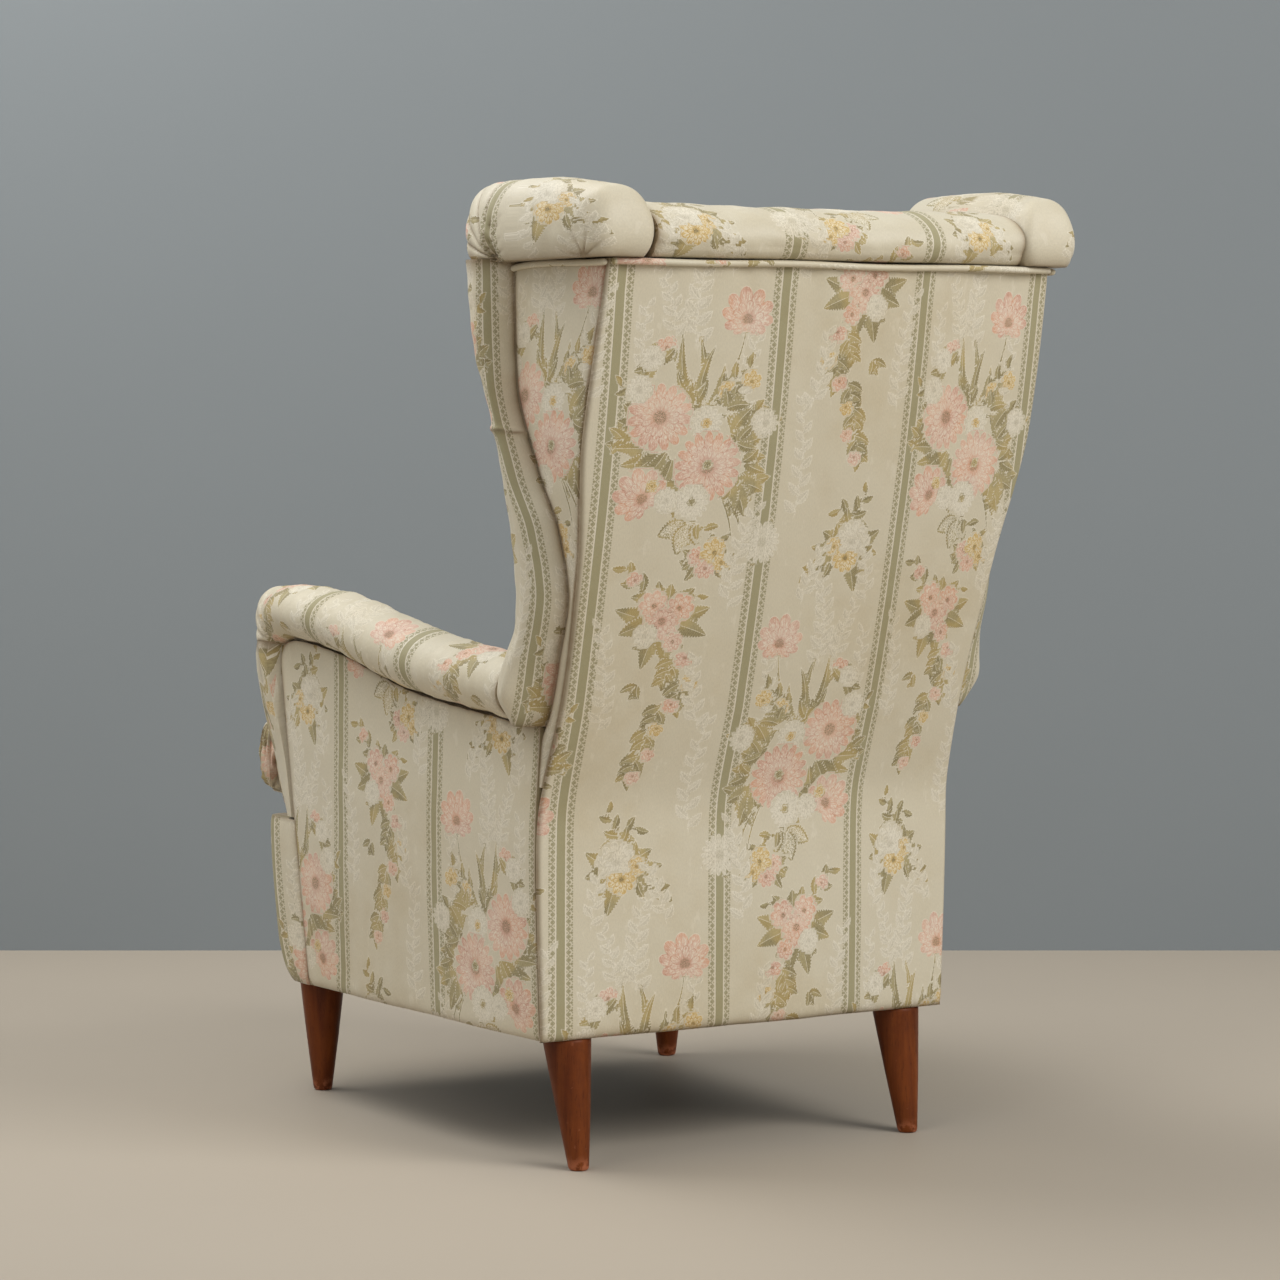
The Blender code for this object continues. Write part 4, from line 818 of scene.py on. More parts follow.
    rings = [stacked(sign * x, y, z)]
    spine_x = x[-1, :n_seen].min() / 2 + x[-1, :n_seen].max() / 2
    half_x = (x[-1].max() - x[-1].min()) / 2
    spine_z = np.clip(z[-1], z[-1].min() + half_x, z[-1].max() - half_x)
    for share, bulge in ((0.75, 0.0012), (0.5, 0.0020), (0.25, 0.0026), (0.02, 0.0028)):
        fx, fz = spine_x + (x[-1] - spine_x) * share, spine_z + (z[-1] - spine_z) * share
        rings.append(stacked(sign * fx, y[-1] - bulge, fz)[None])
    points = np.concatenate(rings)
    column = 1 + (points[..., 1] - SIDE_STRIPE_Y + 0.02) / SIDE_PITCH
    closing = np.column_stack((q, shrink))[len(q_body) - 1:]
    front = np.concatenate((np.zeros(len(q_body)), along(closing)[1:]))
    column[:len(q)] -= (front[:, None] * 0.6) / SIDE_PITCH
    v = np.concatenate((girth, np.repeat(girth[-1:], 4, axis=0)))
    v[:, n_seen:] = points[:, n_seen:, 2] - 0.487
    column[:, n_seen:] = -0.45 - (points[:, n_seen:, 1] + 0.64) * 5.0
    cloth = stacked(column * STRIPE_PITCH, v + 0.487 - SIDE_START_Z + REPEAT + 0.17)
    shade_and_grime = np.concatenate((shade_and_grime, np.repeat(shade_and_grime[-1:], 4, axis=0)))
    name = side_name(sign)
    made = solid(f"arm_roll_{name}", points, cloth_look, cloth, shade_and_grime)
    return stand_for(made, "brocade", f"arm_pad_{name}", fill=0.7)


# Wings

def make_wing_pad(sizes, cloth_look, sign):
    """Wing below its crown: C-shaped plan sections, half an ellipse at the front, around the wing's board."""
    step = step_for(sizes, sign, 1.1)
    n_return, n_arc, n_face, n_back = int(0.10 / step), int(0.12 / step), int(0.16 / step), 12
    z = steps(WING_FOOT_Z, BACK_TOP_Z + 0.004, step)[:, None]
    rear = pad_rear(z)
    front = smooth(WING_FRONT_Y, z)
    outer = smooth(WING_OUT_X, z)
    depth = np.minimum(WING_ROLL_BULGE, rear - front - 0.003)
    inside = inner_x(front + depth, z) + 0.002
    middle, half = (outer + inside) / 2, (outer - inside) / 2
    turn = np.radians(np.linspace(0, 180, n_arc))
    x_arc, y_arc = middle + half * np.cos(turn), front + depth - depth * np.sin(turn)
    seam_y = np.minimum(smooth(WING_SEAM_Y, z), back_y(z) - BACK_COVER - 0.005) - GAP
    seam_x = smooth(WING_SEAM_X, z) + 0.0015
    t = np.linspace(0, 1, n_return, endpoint=False)
    start_y = np.maximum(front + depth, front + 0.004)
    y_arc = np.minimum(y_arc, seam_y - 0.004)
    bow = 0.010 * np.sin(math.pi * t)
    x_ret = seam_x + (outer - seam_x) * np.sin(t * math.pi / 2) ** 0.8 + bow * 0.3
    y_ret = seam_y + (np.minimum(start_y, seam_y - 0.004) - seam_y) * t
    u = np.linspace(0, 1, n_face + 1)[1:]
    y_face = y_arc[:, -1:] + (rear - y_arc[:, -1:]) * u
    x_face = inner_x(y_face, z) + 0.002 * (1 - u)
    b = np.linspace(0, 1, n_back)
    board = np.minimum(front + 0.028, rear - 0.004)
    x_in, x_out = frame_x(rear, z) - FRAME_T - GAP, frame_x(seam_y, z) + GAP
    x_back = np.where(b < 0.4, x_in, np.where(b < 0.6, x_in + (x_out - x_in) * (b - 0.4) / 0.2, x_out))
    y_in, y_out = rear + (board - rear) * b / 0.4, board + (seam_y - board) * (b - 0.6) / 0.4
    y_back = np.where(b < 0.4, y_in, np.where(b < 0.6, board, y_out))
    x = np.concatenate((x_ret, x_arc, x_face, x_back), axis=1)
    y = np.concatenate((y_ret, y_arc, y_face, y_back), axis=1)

    girth = girth_of(x, y)
    n_seen = n_return + n_arc + n_face
    nx, ny = np.gradient(y[:, :n_seen], axis=1), -np.gradient(x[:, :n_seen], axis=1)
    size = np.hypot(nx, ny) + 1e-9
    crease = z - WING_CREASE_Z - 0.10 * girth
    folded = girth < WING_CREASE_LENGTH
    wave = undulation(girth[:, :n_seen] * 0.6, z, 41, 0.10) * 0.0014 * np.clip(girth[:, :n_seen] / 0.01, 0, 1)
    swell = wave - (0.0030 * bell(crease, 0.0035) * folded)[:, :n_seen]
    x[:, :n_seen] += nx / size * swell
    y[:, :n_seen] += ny / size * swell
    points = stacked(sign * x, y, z)
    # Painted shade with some dirt: darker at the seam, the foot, the crease and under the crown
    shade_and_grime = fade(girth, 0.005) + 0.9 * fade(z - WING_FOOT_Z, 0.005)
    shade_and_grime = shade_and_grime + bell(crease, 0.0018) * folded + 0.8 * fade(BACK_TOP_Z - z, 0.008)
    column = 0.17 - girth / 0.165
    cloth = stacked(column * STRIPE_PITCH, z - WING_START_Z + 0.30)
    name = side_name(sign)
    made = solid(f"wing_{name}", points, cloth_look, cloth, shade_and_grime)
    return stand_for(made, "brocade", f"wing_pad_{name}", fill=0.7)


def make_wing_crown(sizes, cloth_look, sign):
    """Roll over a wing: a stadium in plan whose radius follows a round profile, gathered at the seam's top."""
    step = step_for(sizes, sign, 1.1)
    front_y, rear_y = CROWN_FRONT_Y, CROWN_REAR_Y
    count = int(0.72 / step)
    turn = np.linspace(0, 2 * math.pi, count, endpoint=False)
    cx, sy = np.cos(turn), np.sin(turn)
    power = np.where((cx < 0) & (sy > 0), 0.26, 0.50)
    ex, ey = squared(cx, power), squared(sy, power)
    length = (rear_y - front_y) / 2
    y_mid = (front_y + rear_y) / 2
    phi = np.radians(np.linspace(-42, 84, int(0.15 / step)))[:, None]
    base = BACK_TOP_Z - 0.002
    z_mid, tall = base + 0.032, WING_TOP_Z - base - 0.032
    z = z_mid + np.where(phi < 0, 0.044, tall) * np.sin(phi)
    grow = np.cos(phi) ** 0.75
    y = y_mid + ey * (length - 0.040 * (1 - grow))
    inside = inner_x(y, BACK_TOP_Z) - 0.002
    outer = smooth(WING_OUT_X, BACK_TOP_Z)
    middle, half = (outer + inside) / 2, (outer - inside) / 2
    tail = ease(y, 0.10, rear_y)
    middle, half = middle - 0.004 * tail, half * (1 - 0.04 * tail)
    x = middle + ex * half * grow
    drop = 0.012 * ease(y, 0.05, rear_y)
    zz = z - drop * np.clip((z - base) / (WING_TOP_Z - base), 0, 1)

    dy, dz = CROWN_PINCH_Y - y, zz - (BACK_TOP_Z + 0.004)
    reach = np.hypot(dy, dz)
    ray = np.arctan2(dz, dy)
    pleat = np.abs(np.sin(ray * 8.5 + 0.5)) ** 0.5 - 0.66
    near = bell(reach, 0.085) * ease(dy, -0.04, 0.0) * (ex > 0.1)
    dent = 0.010 * bell(reach, 0.014) * (ex > 0.1)
    girth = girth_of(x, y)
    turned = girth - girth[:, np.argmin(np.abs(turn - math.pi / 4))][:, None]
    corner = np.hypot(turned, zz - BACK_TOP_Z)
    gather = np.abs(np.sin(np.arctan2(zz - BACK_TOP_Z, turned) * 4 + 0.8)) - 0.6
    gather = gather * bell(corner, 0.024) * 0.0030 * (turn < math.pi)
    swell = pleat * near * 0.0066 - dent + gather + undulation(y, zz, 51, 0.09) * 0.0012
    x = x + squared(ex, 0.5) * swell
    zz = zz + swell * np.clip(np.sin(phi), 0, 1) * 0.6
    spine_y = np.clip(y[-1], front_y + 0.05, rear_y - 0.05)
    rings = [stacked(sign * x, y, zz)]
    for share in (0.6, 0.3, 0.02):
        top_x, top_y = middle[-1] + (x[-1] - middle[-1]) * share, spine_y + (y[-1] - spine_y) * share
        rings.append(stacked(sign * top_x, top_y, zz[-1] + 0.0006 * (1 - share))[None])
    points = np.concatenate(rings)
    flat = np.degrees(np.concatenate((phi[:, 0], np.radians((86, 88, 90)))))[:, None]
    around = girth_of(x[:1], y[:1])[0]
    around = np.where(turn > 1.55 * math.pi, around - around[-1], around)
    column = (around[None, :] + 0.040) / 0.27
    v = (flat + 42) / 126 * 0.12 + BACK_TOP_Z - WING_START_Z
    cloth = np.stack(np.broadcast_arrays(column * STRIPE_PITCH, v), axis=-1)
    # Painted shade with some dirt: darker in the pleat and gather valleys, at the pinch, the lower edge and the
    # corner
    shade_and_grime = 1.6 * near * np.clip(-pleat * 1.8, 0, 1) + bell(reach, 0.010) * (ex > 0)
    shade_and_grime = shade_and_grime + np.clip(-gather / 0.0012, 0, 1) * 0.6 + 0.8 * fade(zz - zz.min(), 0.006)
    shade_and_grime = np.concatenate((shade_and_grime + 0.9 * bell(corner, 0.007), np.zeros((3, count))))
    name = side_name(sign)
    made = solid(f"wing_crown_{name}", points, cloth_look, cloth, shade_and_grime)
    return stand_for(made, "brocade", f"wing_pad_{name}", fill=0.7)


# Back, seat and front

def back_section(count):
    """Section of the inside back from its foot up the front, over the roll, and down the posts, evenly spaced."""
    z = np.linspace(DECK_Z + GAP, 0.94, 60)
    front = np.column_stack((smooth(INSIDE_BACK_Y, z) - BACK_CROWN * np.clip((z - DECK_Z) / 0.1, 0, 1), z))
    rear = back_y(BACK_TOP_Z) + ROLL_REACH
    waist = 1.006
    middle = (front[-1, 0] + rear) / 2
    turn = np.radians(np.linspace(160, -10, 40))
    over = np.column_stack((middle + (rear - middle) * np.cos(turn), waist + (ROLL_TOP_Z - waist) * np.sin(turn)))
    under = np.array((rear, BACK_TOP_Z)) + ((-0.004, 0.007), (-0.010, 0.002), (-0.018, 0.001))
    return evenly(np.concatenate((front, over, under)), count)


def make_inside_back(sizes, cloth_look):
    """Inside back and top roll: one section carried across, full in the middle and drawn in at the wings."""
    step = sizes.fine_step * 1.35
    section, length = back_section(int(0.98 / step))
    z_down = np.linspace(BACK_TOP_Z, DECK_Z + 2 * GAP, 24)
    down = np.column_stack((pad_rear(z_down), z_down))
    ring = np.concatenate((section, down))
    seen = len(section)
    f = np.linspace(-1, 1, int(0.47 / step))[:, None]
    y, z = ring.T
    x = f * (inner_x(y, np.minimum(z, BACK_TOP_Z)) - 0.0045 + 0.0035 * ease(z, 0.94, 1.0))
    tangent = np.gradient(ring, axis=0)
    normal = np.column_stack((-tangent[:, 1], tangent[:, 0]))
    normal /= np.linalg.norm(normal, axis=1)[:, None] + 1e-9
    swell = -0.010 * np.abs(f) ** 5 * (1 - 0.75 * ease(z, 0.98, 1.02)) + undulation(x, z, 61, 0.16) * 0.0020
    swell = swell + undulation(x, z, 62, 0.06) * 0.0006 - 0.002 * (1 - f ** 2)
    mask = np.zeros(len(ring))
    mask[:seen] = np.clip(np.minimum(np.arange(seen), seen - 1 - np.arange(seen)) / 6, 0, 1)
    y = y + swell * mask * normal[:, 0]
    z = z + swell * mask * normal[:, 1]
    points = stacked(x, y, z)
    seam = np.zeros(x.shape, bool)
    seam[:, (np.arange(len(ring)) < 4) | (np.arange(len(ring)) >= seen) | (ring[:, 1] > 0.975)] = True
    seam[:2] = seam[-2:] = True
    points = inflated(points, seam, 0.007)
    v = np.concatenate((length, length[-1] + along(down)))
    u = column_of(x, np.full_like(x, BACK_TOP_Z)) * STRIPE_PITCH
    cloth = stacked(u, length[-1] - v + 0.045)
    # Painted shade with some dirt: darker toward both sides, where the back meets the wings
    made = solid("inside_back", points, cloth_look, cloth, fade((1 - np.abs(f)) * 0.23, 0.004))
    return stand_for(made, "brocade", "inside_back_pad", fill=0.6)


def make_seat_deck(cloth_look):
    """Platform under the cushion: a flat-topped slab with rounded corners."""
    low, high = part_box("seat_deck_pad")
    t = np.linspace(0, 1, 9)[:, None, None]
    turn = np.linspace(0, 2 * math.pi, 96, endpoint=False)[None, :, None]
    c, s = np.cos(turn), np.sin(turn)
    y_mid = (low[1] + high[1]) / 2 - REAR_Y
    y = y_mid + squared(s, 0.12) * ((high[1] - low[1]) / 2 - GAP)
    x = squared(c, 0.12) * (frame_x(y, 0) - FRAME_T - 2 * GAP)
    z = low[2] + (high[2] - low[2]) * t
    rings = [np.concatenate(np.broadcast_arrays(x, y, z), axis=-1)]
    centre = np.array((0.0, y_mid, 0.0))
    for share in (0.9, 0.6, 0.3, 0.02):
        ring = rings[0][-1] * (share, share, 1) + centre * (1 - share)
        rings.append(ring[None])
    points = np.concatenate(rings)
    cloth = stacked(points[..., 0] + 0.5 * STRIPE_PITCH, points[..., 1])
    return stand_for(solid("seat_deck", points, cloth_look, cloth), "brocade", "seat_deck_pad", fill=0.5)


def cushion_plan(count):
    """Plan of the T-shaped cushion as evenly spaced points: a body between the arms and ears in front of them."""
    ear_rear = CUSHION_FRONT_Y + EAR_DEPTH
    front = CUSHION_FRONT_Y + 0.003
    rear = INSIDE_BACK_Y[0][1] - BACK_CROWN - 0.005
    ear = SIDE_FRONT_X - 0.001

    def side(y):
        return float(inner_x(y, 0)) - 0.005

    def corner(x, y, radius, first, last, points):
        """Arc about a centre, its angle clockwise in degrees from the chair's rear."""
        turn = np.radians(np.linspace(first, last, points))
        return [(x + radius * math.sin(a), y + radius * math.cos(a)) for a in turn]

    half = [(0.0, rear)] + corner(side(rear) - 0.035, rear - 0.035, 0.035, 0, 90, 8)
    half += [(side(y), y) for y in np.linspace(rear - 0.06, ear_rear + 0.02, 12)]
    half += corner(side(ear_rear) + 0.008, ear_rear + 0.008, 0.008, 240, 180, 4)
    half += corner(ear - 0.012, ear_rear - 0.012, 0.012, 0, 90, 6)
    half += corner(ear - 0.020, front + 0.020, 0.020, 90, 180, 8) + [(0.0, front)]
    loop = np.array(half + [(-x, y) for x, y in reversed(half[1:-1])])
    return evenly(np.concatenate((loop, loop[:1])), count, endpoint=False)


def make_cushion(sizes, cloth_look):
    """Seat cushion: its plan shrinks toward both faces along a rounded side, and both faces crown.

    The ears are gathered: ripples run round them, deeper toward their outer end.
    """
    step = sizes.coarse_step
    plan, length = cushion_plan(int(2.55 / step))
    low, high = DECK_Z + GAP, CUSHION_TOP_Z
    middle, half = (low + high) / 2, (high - low) / 2
    phi = np.radians(np.linspace(-90, 90, int(0.17 / step)))[:, None]
    inset = 0.030 * (1 - np.cos(phi) ** 0.7)
    height = squared(np.sin(phi), 0.85) * (half - 0.022)
    ahead = np.roll(plan, -3, axis=0) - np.roll(plan, 3, axis=0)
    normal = np.column_stack((ahead[:, 1], -ahead[:, 0]))
    normal /= np.linalg.norm(normal, axis=1)[:, None]
    if (normal * (plan - plan.mean(axis=0))).sum() < 0:
        normal = -normal
    smooth_n = sum(np.roll(normal, k, axis=0) for k in range(-5, 6)) / 11
    ear = ease(np.abs(plan[:, 0]), 0.235, 0.275) * ease(-plan[:, 1], 0.655, 0.670)
    ripple = np.sin(length * 2 * math.pi / EAR_RIPPLE + 2.2 * np.sin(phi * 3)) * ear * 0.0026
    crumple = undulation(length, phi * 0.05, 71, 0.05) * ear * 0.0022
    out = -inset + ripple * np.cos(phi) + crumple - 0.0035 * ear
    x = plan[:, 0] + smooth_n[:, 0] * out
    y = plan[:, 1] + smooth_n[:, 1] * out
    rings = [stacked(x, y, middle + height)]
    bottom, top = rings[0][0], rings[0][-1]
    spine_x = np.clip(plan[:, 0], -0.10, 0.10)
    spine_y = np.clip(plan[:, 1], -0.46, -0.36)
    upper, lower = [], []
    for share in np.linspace(0.93, 0.02, 14):
        crown = 0.022 * (1 - share ** 2.2)
        for end, keep, sign in ((top, upper, 1), (bottom, lower, -1)):
            cx, cy = spine_x + (end[:, 0] - spine_x) * share, spine_y + (end[:, 1] - spine_y) * share
            keep.append(stacked(cx, cy, end[:, 2] + sign * crown)[None])
    points = np.concatenate(lower[::-1] + rings + upper)
    band = np.abs(points[..., 2] - middle) < half - 0.026
    u = np.where(band, length[None, :] + 0.11, points[..., 0] + 0.5 * STRIPE_PITCH)
    v = np.where(band, points[..., 2] * 1.4, -points[..., 1])
    # Painted shade: darker in the valleys of the ears' ripples
    shade_and_grime = band * ear * np.clip(-np.sin(length * 2 * math.pi / EAR_RIPPLE) * 1.3, 0, 1)
    cloth = stacked(u, v)
    seam = np.zeros(points.shape[:2], bool)
    seam[:len(lower) + 1] = True
    seam[len(lower) + len(phi) - 3:len(lower) + len(phi)] = True
    points = inflated(points, seam, 0.006)
    made = solid("seat_cushion_cover", points, cloth_look, cloth, shade_and_grime)
    return stand_for(made, "brocade", "seat_cushion", fill=0.6)


def make_apron(sizes, cloth_look):
    """Band under the cushion's front: rows follow its leaning front, rings turn both corners to the side seams."""
    step = sizes.coarse_step
    z = steps(under_z(FRAME_FRONT_Y), DECK_Z - GAP, step)[:, None]
    front = smooth(APRON_FRONT_Y, z)
    seam = side_front_y(z) - 0.001
    radius = 0.028
    n_side, n_turn, n_front = 14, 14, int(0.5 / step)
    a = np.radians(np.linspace(0, 90, n_turn))
    t = np.linspace(0, 1, n_side, endpoint=False)
    x_side = np.full((len(z), n_side), SIDE_FRONT_X)
    y_side = seam + (front + radius - seam) * t
    x_turn = SIDE_FRONT_X - radius * (1 - np.cos(a)) + 0 * z
    y_turn = front + radius * (1 - np.sin(a))
    across = np.linspace(1, -1, n_front)[1:-1]
    x_front = (SIDE_FRONT_X - radius) * across + 0 * z
    y_front = front - 0.003 * (1 - across ** 2)
    x = np.concatenate((x_side, x_turn, x_front, -x_turn[:, ::-1], -x_side[:, ::-1]), axis=1)
    y = np.concatenate((y_side, y_turn, y_front, y_turn[:, ::-1], y_side[:, ::-1]), axis=1)
    out = undulation(x + y, z * 0.6, 81, 0.12) * 0.0012 - 0.003 * fade(z - z[0], 0.005)
    out = out - 0.002 * fade(z[-1] - z, 0.005) - 0.002 * fade(np.abs(y - seam), 0.004)
    lean = np.clip(np.abs(x) / SIDE_FRONT_X, 0, 1) ** 12
    x = x + np.sign(x) * out * lean
    y = y - out * (1 - lean)
    girth = girth_of(x[:1], y[:1])
    at_seam, at_front = frame_x(seam[:, 0], 0) + GAP, FRAME_HALF_FRONT + GAP
    rail_y = FRAME_FRONT_Y - GAP
    x = np.concatenate((x, stacked(-at_seam, -at_front, at_front, at_seam)), axis=1)
    y = np.concatenate((y, stacked(seam[:, 0], rail_y, rail_y, seam[:, 0])), axis=1)
    points = stacked(x, y, z)
    u = np.concatenate((girth[0], np.full(4, girth[0, -1])))
    cloth = stacked(u * 0.9 - 0.2 * STRIPE_PITCH, z - SIDE_START_Z + REPEAT + 0.1)
    # Painted shade with some dirt: darker at the side seams, under the cushion and at the hem
    shade_and_grime = fade(np.abs(y - seam), 0.004) + 0.7 * fade(z[-1] - z, 0.003) + 0.6 * fade(z - z[0], 0.004)
    made = solid("apron", points, cloth_look, cloth, shade_and_grime)
    return stand_for(made, "brocade", "front_apron", fill=0.5)


def make_piping(sizes, cord_look):
    """Welt cords: along the back's top edge, and along both wings' top edges, each ending in a turned-in tip."""
    r = sizes.welt_radius
    x = np.linspace(-1, 1, 120)
    reach = half_width(BACK_TOP_Z) - 0.004
    z = BACK_TOP_Z - r - 0.0005 + 0.0010 * np.sin(7 * x) * (1 - x ** 2)
    y = back_y(z) + 0.0015 + r - 0.004 * np.abs(x) ** 14
    cord = tube("back_welt_cord", np.column_stack((x * reach, y, z)), r, cord_look)
    stand_for(cord, "brocade", "back_welt")
    for sign, name in ((1, "left"), (-1, "right")):
        t = np.linspace(0, 1, 60)
        y0, y1 = -0.012, back_y(BACK_TOP_Z) - BACK_COVER + 0.002
        x0, x1 = smooth(WING_SEAM_X, BACK_TOP_Z), half_width(BACK_TOP_Z)
        x = x0 + (x1 - x0) * t + r + 0.0015 - 0.004 * (1 - t) ** 8
        z = BACK_TOP_Z - r - 0.0005 + 0.0012 * np.sin(5 * t) - 0.002 * (1 - t) ** 6
        path = np.column_stack((sign * x, y0 + (y1 - y0) * t, z))
        stand_for(tube(f"wing_welt_cord_{name}", path, r, cord_look), "brocade", f"wing_welt_{name}")


def make_leg(wood, name, x, y, rake, node):
    """Turned and tapered leg: circles whose radius grows from foot to top, each centre leaning by the rake."""
    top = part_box(node)[1][2] - 0.0004
    heights, radii = np.array(((0.0, 0.0085), (0.0006, 0.0098), (0.002, 0.0110), (0.005, 0.0117), (top * 0.5, 0.0196),
                               (top - 0.002, 0.0270), (top - 0.0005, 0.0266), (top, 0.0255))).T
    z = np.unique(np.concatenate((heights, np.linspace(0.008, top - 0.004, 40))))
    radius = np.interp(z, heights, radii)
    turn = np.linspace(0, 2 * math.pi, 72, endpoint=False)
    wobble = 1 + 0.004 * undulation(turn[None, :] * 0.05, z[:, None] * 0.5, 91, 0.08)
    px = x + radius[:, None] * np.cos(turn) * wobble
    py = y + rake * (1 - z[:, None] / top) + radius[:, None] * np.sin(turn) * wobble
    made = solid(name, stacked(px, py, z[:, None]), wood)
    made.data.set_sharp_from_angle(angle=math.radians(35))
    return stand_for(made, "stained_beech", node)


# Materials

MM = 1000.0
FULL_TURN = 6.2832
FLOWER_EDGE, LEAF_EDGE_POWER, LEAF_TIP_POWER = 0.6, 0.8, 0.8
CLASS_LOW, CLASS_HIGH = 0.4, 0.6


class Graph:
    """Adds nodes to one tree and wires them. Any input takes a socket or a plain value."""

    def __init__(self, tree):
        self.tree = tree

    def feed(self, socket, value):
        if isinstance(value, bpy.types.NodeSocket):
            self.tree.links.new(value, socket)
        else:
            socket.default_value = value

    def feed_all(self, node, inputs):
        for key, value in inputs.items():
            self.feed(node.inputs[key], value)

    def node(self, kind, inputs, **settings):
        made = self.tree.nodes.new(kind)
        for key, value in settings.items():
            setattr(made, key, value)
        self.feed_all(made, inputs)
        return made

    def math(self, operation, *values, clamp=False):
        return self.node("ShaderNodeMath", dict(enumerate(values)), operation=operation, use_clamp=clamp).outputs[0]

    mad = functools.partialmethod(math, "MULTIPLY_ADD")
    mul = functools.partialmethod(math, "MULTIPLY")
    sub = functools.partialmethod(math, "SUBTRACT")
    add = functools.partialmethod(math, "ADD")
    top = functools.partialmethod(math, "MAXIMUM")
    abs = functools.partialmethod(math, "ABSOLUTE")
    sin = functools.partialmethod(math, "SINE")
    pow = functools.partialmethod(math, "POWER")
    div = functools.partialmethod(math, "DIVIDE")

    def mix(self, factor, a, b, blend="MIX"):
        return self.node("ShaderNodeMix", {0: factor, 6: a, 7: b}, data_type="RGBA", blend_type=blend).outputs[2]

    def ramp(self, value, low, high, start=0.0, end=1.0):
        inputs = {"Value": value, "From Min": low, "From Max": high, "To Min": start, "To Max": end}
        return self.node("ShaderNodeMapRange", inputs, interpolation_type="SMOOTHSTEP").outputs["Result"]

    def fall(self, value, low, high, end=0.0):
        return self.ramp(value, low, high, 1.0, end)

    def noise(self, vector, scale, detail=2.0, rough=0.5):
        inputs = {"Vector": vector, "Scale": scale, "Detail": detail, "Roughness": rough}
        return self.node("ShaderNodeTexNoise", inputs).outputs["Fac"]

    def stretch(self, vector, x, y, z):
        return self.node("ShaderNodeVectorMath", {0: vector, 1: (x, y, z)}, operation="MULTIPLY").outputs[0]

    def split(self, vector):
        return self.node("ShaderNodeSeparateXYZ", {0: vector}).outputs

    def join(self, x, y, z):
        return self.node("ShaderNodeCombineXYZ", {0: x, 1: y, 2: z}).outputs[0]

    def length(self, x, y):
        return self.math("SQRT", self.add(self.mul(x, x), self.mul(y, y)))

    def stored(self, name):
        return self.node("ShaderNodeAttribute", {}, attribute_name=name).outputs

    def place(self):
        return self.node("ShaderNodeTexCoord", {}).outputs["Object"]

    def use(self, tree, **inputs):
        return self.node("ShaderNodeGroup", inputs, node_tree=tree).outputs

    def bump(self, strength, distance, height):
        inputs = {"Strength": strength, "Distance": distance, "Height": height}
        return self.node("ShaderNodeBump", inputs).outputs[0]

    def end(self, **outputs):
        """Wires the outputs of a group and returns its tree."""
        self.feed_all(self.tree.nodes.new("NodeGroupOutput"), outputs)
        return self.tree


def group(name, inputs, outputs):
    """Empty node group, whose inputs without a default are vectors; returns its graph and its inputs' sockets."""
    tree = bpy.data.node_groups.new(name, "ShaderNodeTree")
    for label, default in inputs.items():
        kind = "NodeSocketVector" if default is None else "NodeSocketFloat"
        made = tree.interface.new_socket(name=label, in_out="INPUT", socket_type=kind)
        if default is not None:
            made.default_value = default
    for label in outputs:
        tree.interface.new_socket(name=label, in_out="OUTPUT", socket_type="NodeSocketFloat")
    return Graph(tree), tree.nodes.new("NodeGroupInput").outputs


def rgba(values, factor=1.0, lift=0.0):
    """Opaque colour, scaled by a factor and raised by a lift."""
    return (*(min(c * factor + lift, 1.0) for c in values), 1.0)


def weave_group():
    """Woven threads: two crossed waves on the cloth's own coordinates, with uneven yarn."""
    g, start = group("Thread weave", {"Cloth": None, "Pitch": 0.0009}, ("Height", "Fleck"))
    u, v, _ = g.split(start["Cloth"])
    rate = g.div(FULL_TURN, start["Pitch"])
    yarn = g.noise(g.stretch(start["Cloth"], 900, 220, 1), 1.0)
    crossed = g.mul(g.sin(g.mul(u, rate)), g.sin(g.mul(v, rate)))
    return g.end(Height=g.mad(crossed, 0.25, yarn), Fleck=yarn)


def age_group():
    """Soft uneven soiling: large clouds and finer blotches added up, from 0 clean to 1 soiled."""
    g, start = group("Age and dust", {"Place": None, "Scale": 4.0}, ("Soil", "Fine"))
    cloud = g.noise(start["Place"], start["Scale"], 3.0)
    fine = g.noise(start["Place"], g.mul(start["Scale"], 9.0), 4.0, 0.6)
    return g.end(Soil=g.ramp(g.mad(fine, 0.35, g.mul(cloud, 0.8)), 0.50, 0.82), Fine=fine)


def grain_group():
    """Straight wood grain along Z: noise drawn out along the member, a slow waviness, and short pores."""
    g, start = group("Wood grain", {"Place": None, "Scale": 60.0}, ("Grain", "Pores"))
    lines = g.noise(g.stretch(start["Place"], 1.0, 1.0, 0.06), start["Scale"], 6.0, 0.62)
    wavy = g.noise(g.stretch(start["Place"], 1.0, 1.0, 0.25), 18.0, 3.0)
    pores = g.noise(g.stretch(start["Place"], 1.0, 1.0, 0.10), 700.0)
    grain = g.ramp(g.mad(wavy, 0.35, g.mul(lines, 0.75)), 0.30, 0.80)
    return g.end(Grain=grain, Pores=g.ramp(pores, 0.60, 0.68))


def new_look(name):
    """Empty material with its Principled shader; returns the material, its graph and the shader."""
    made = bpy.data.materials.new(name)
    made.use_nodes = True
    return made, Graph(made.node_tree), made.node_tree.nodes["Principled BSDF"]


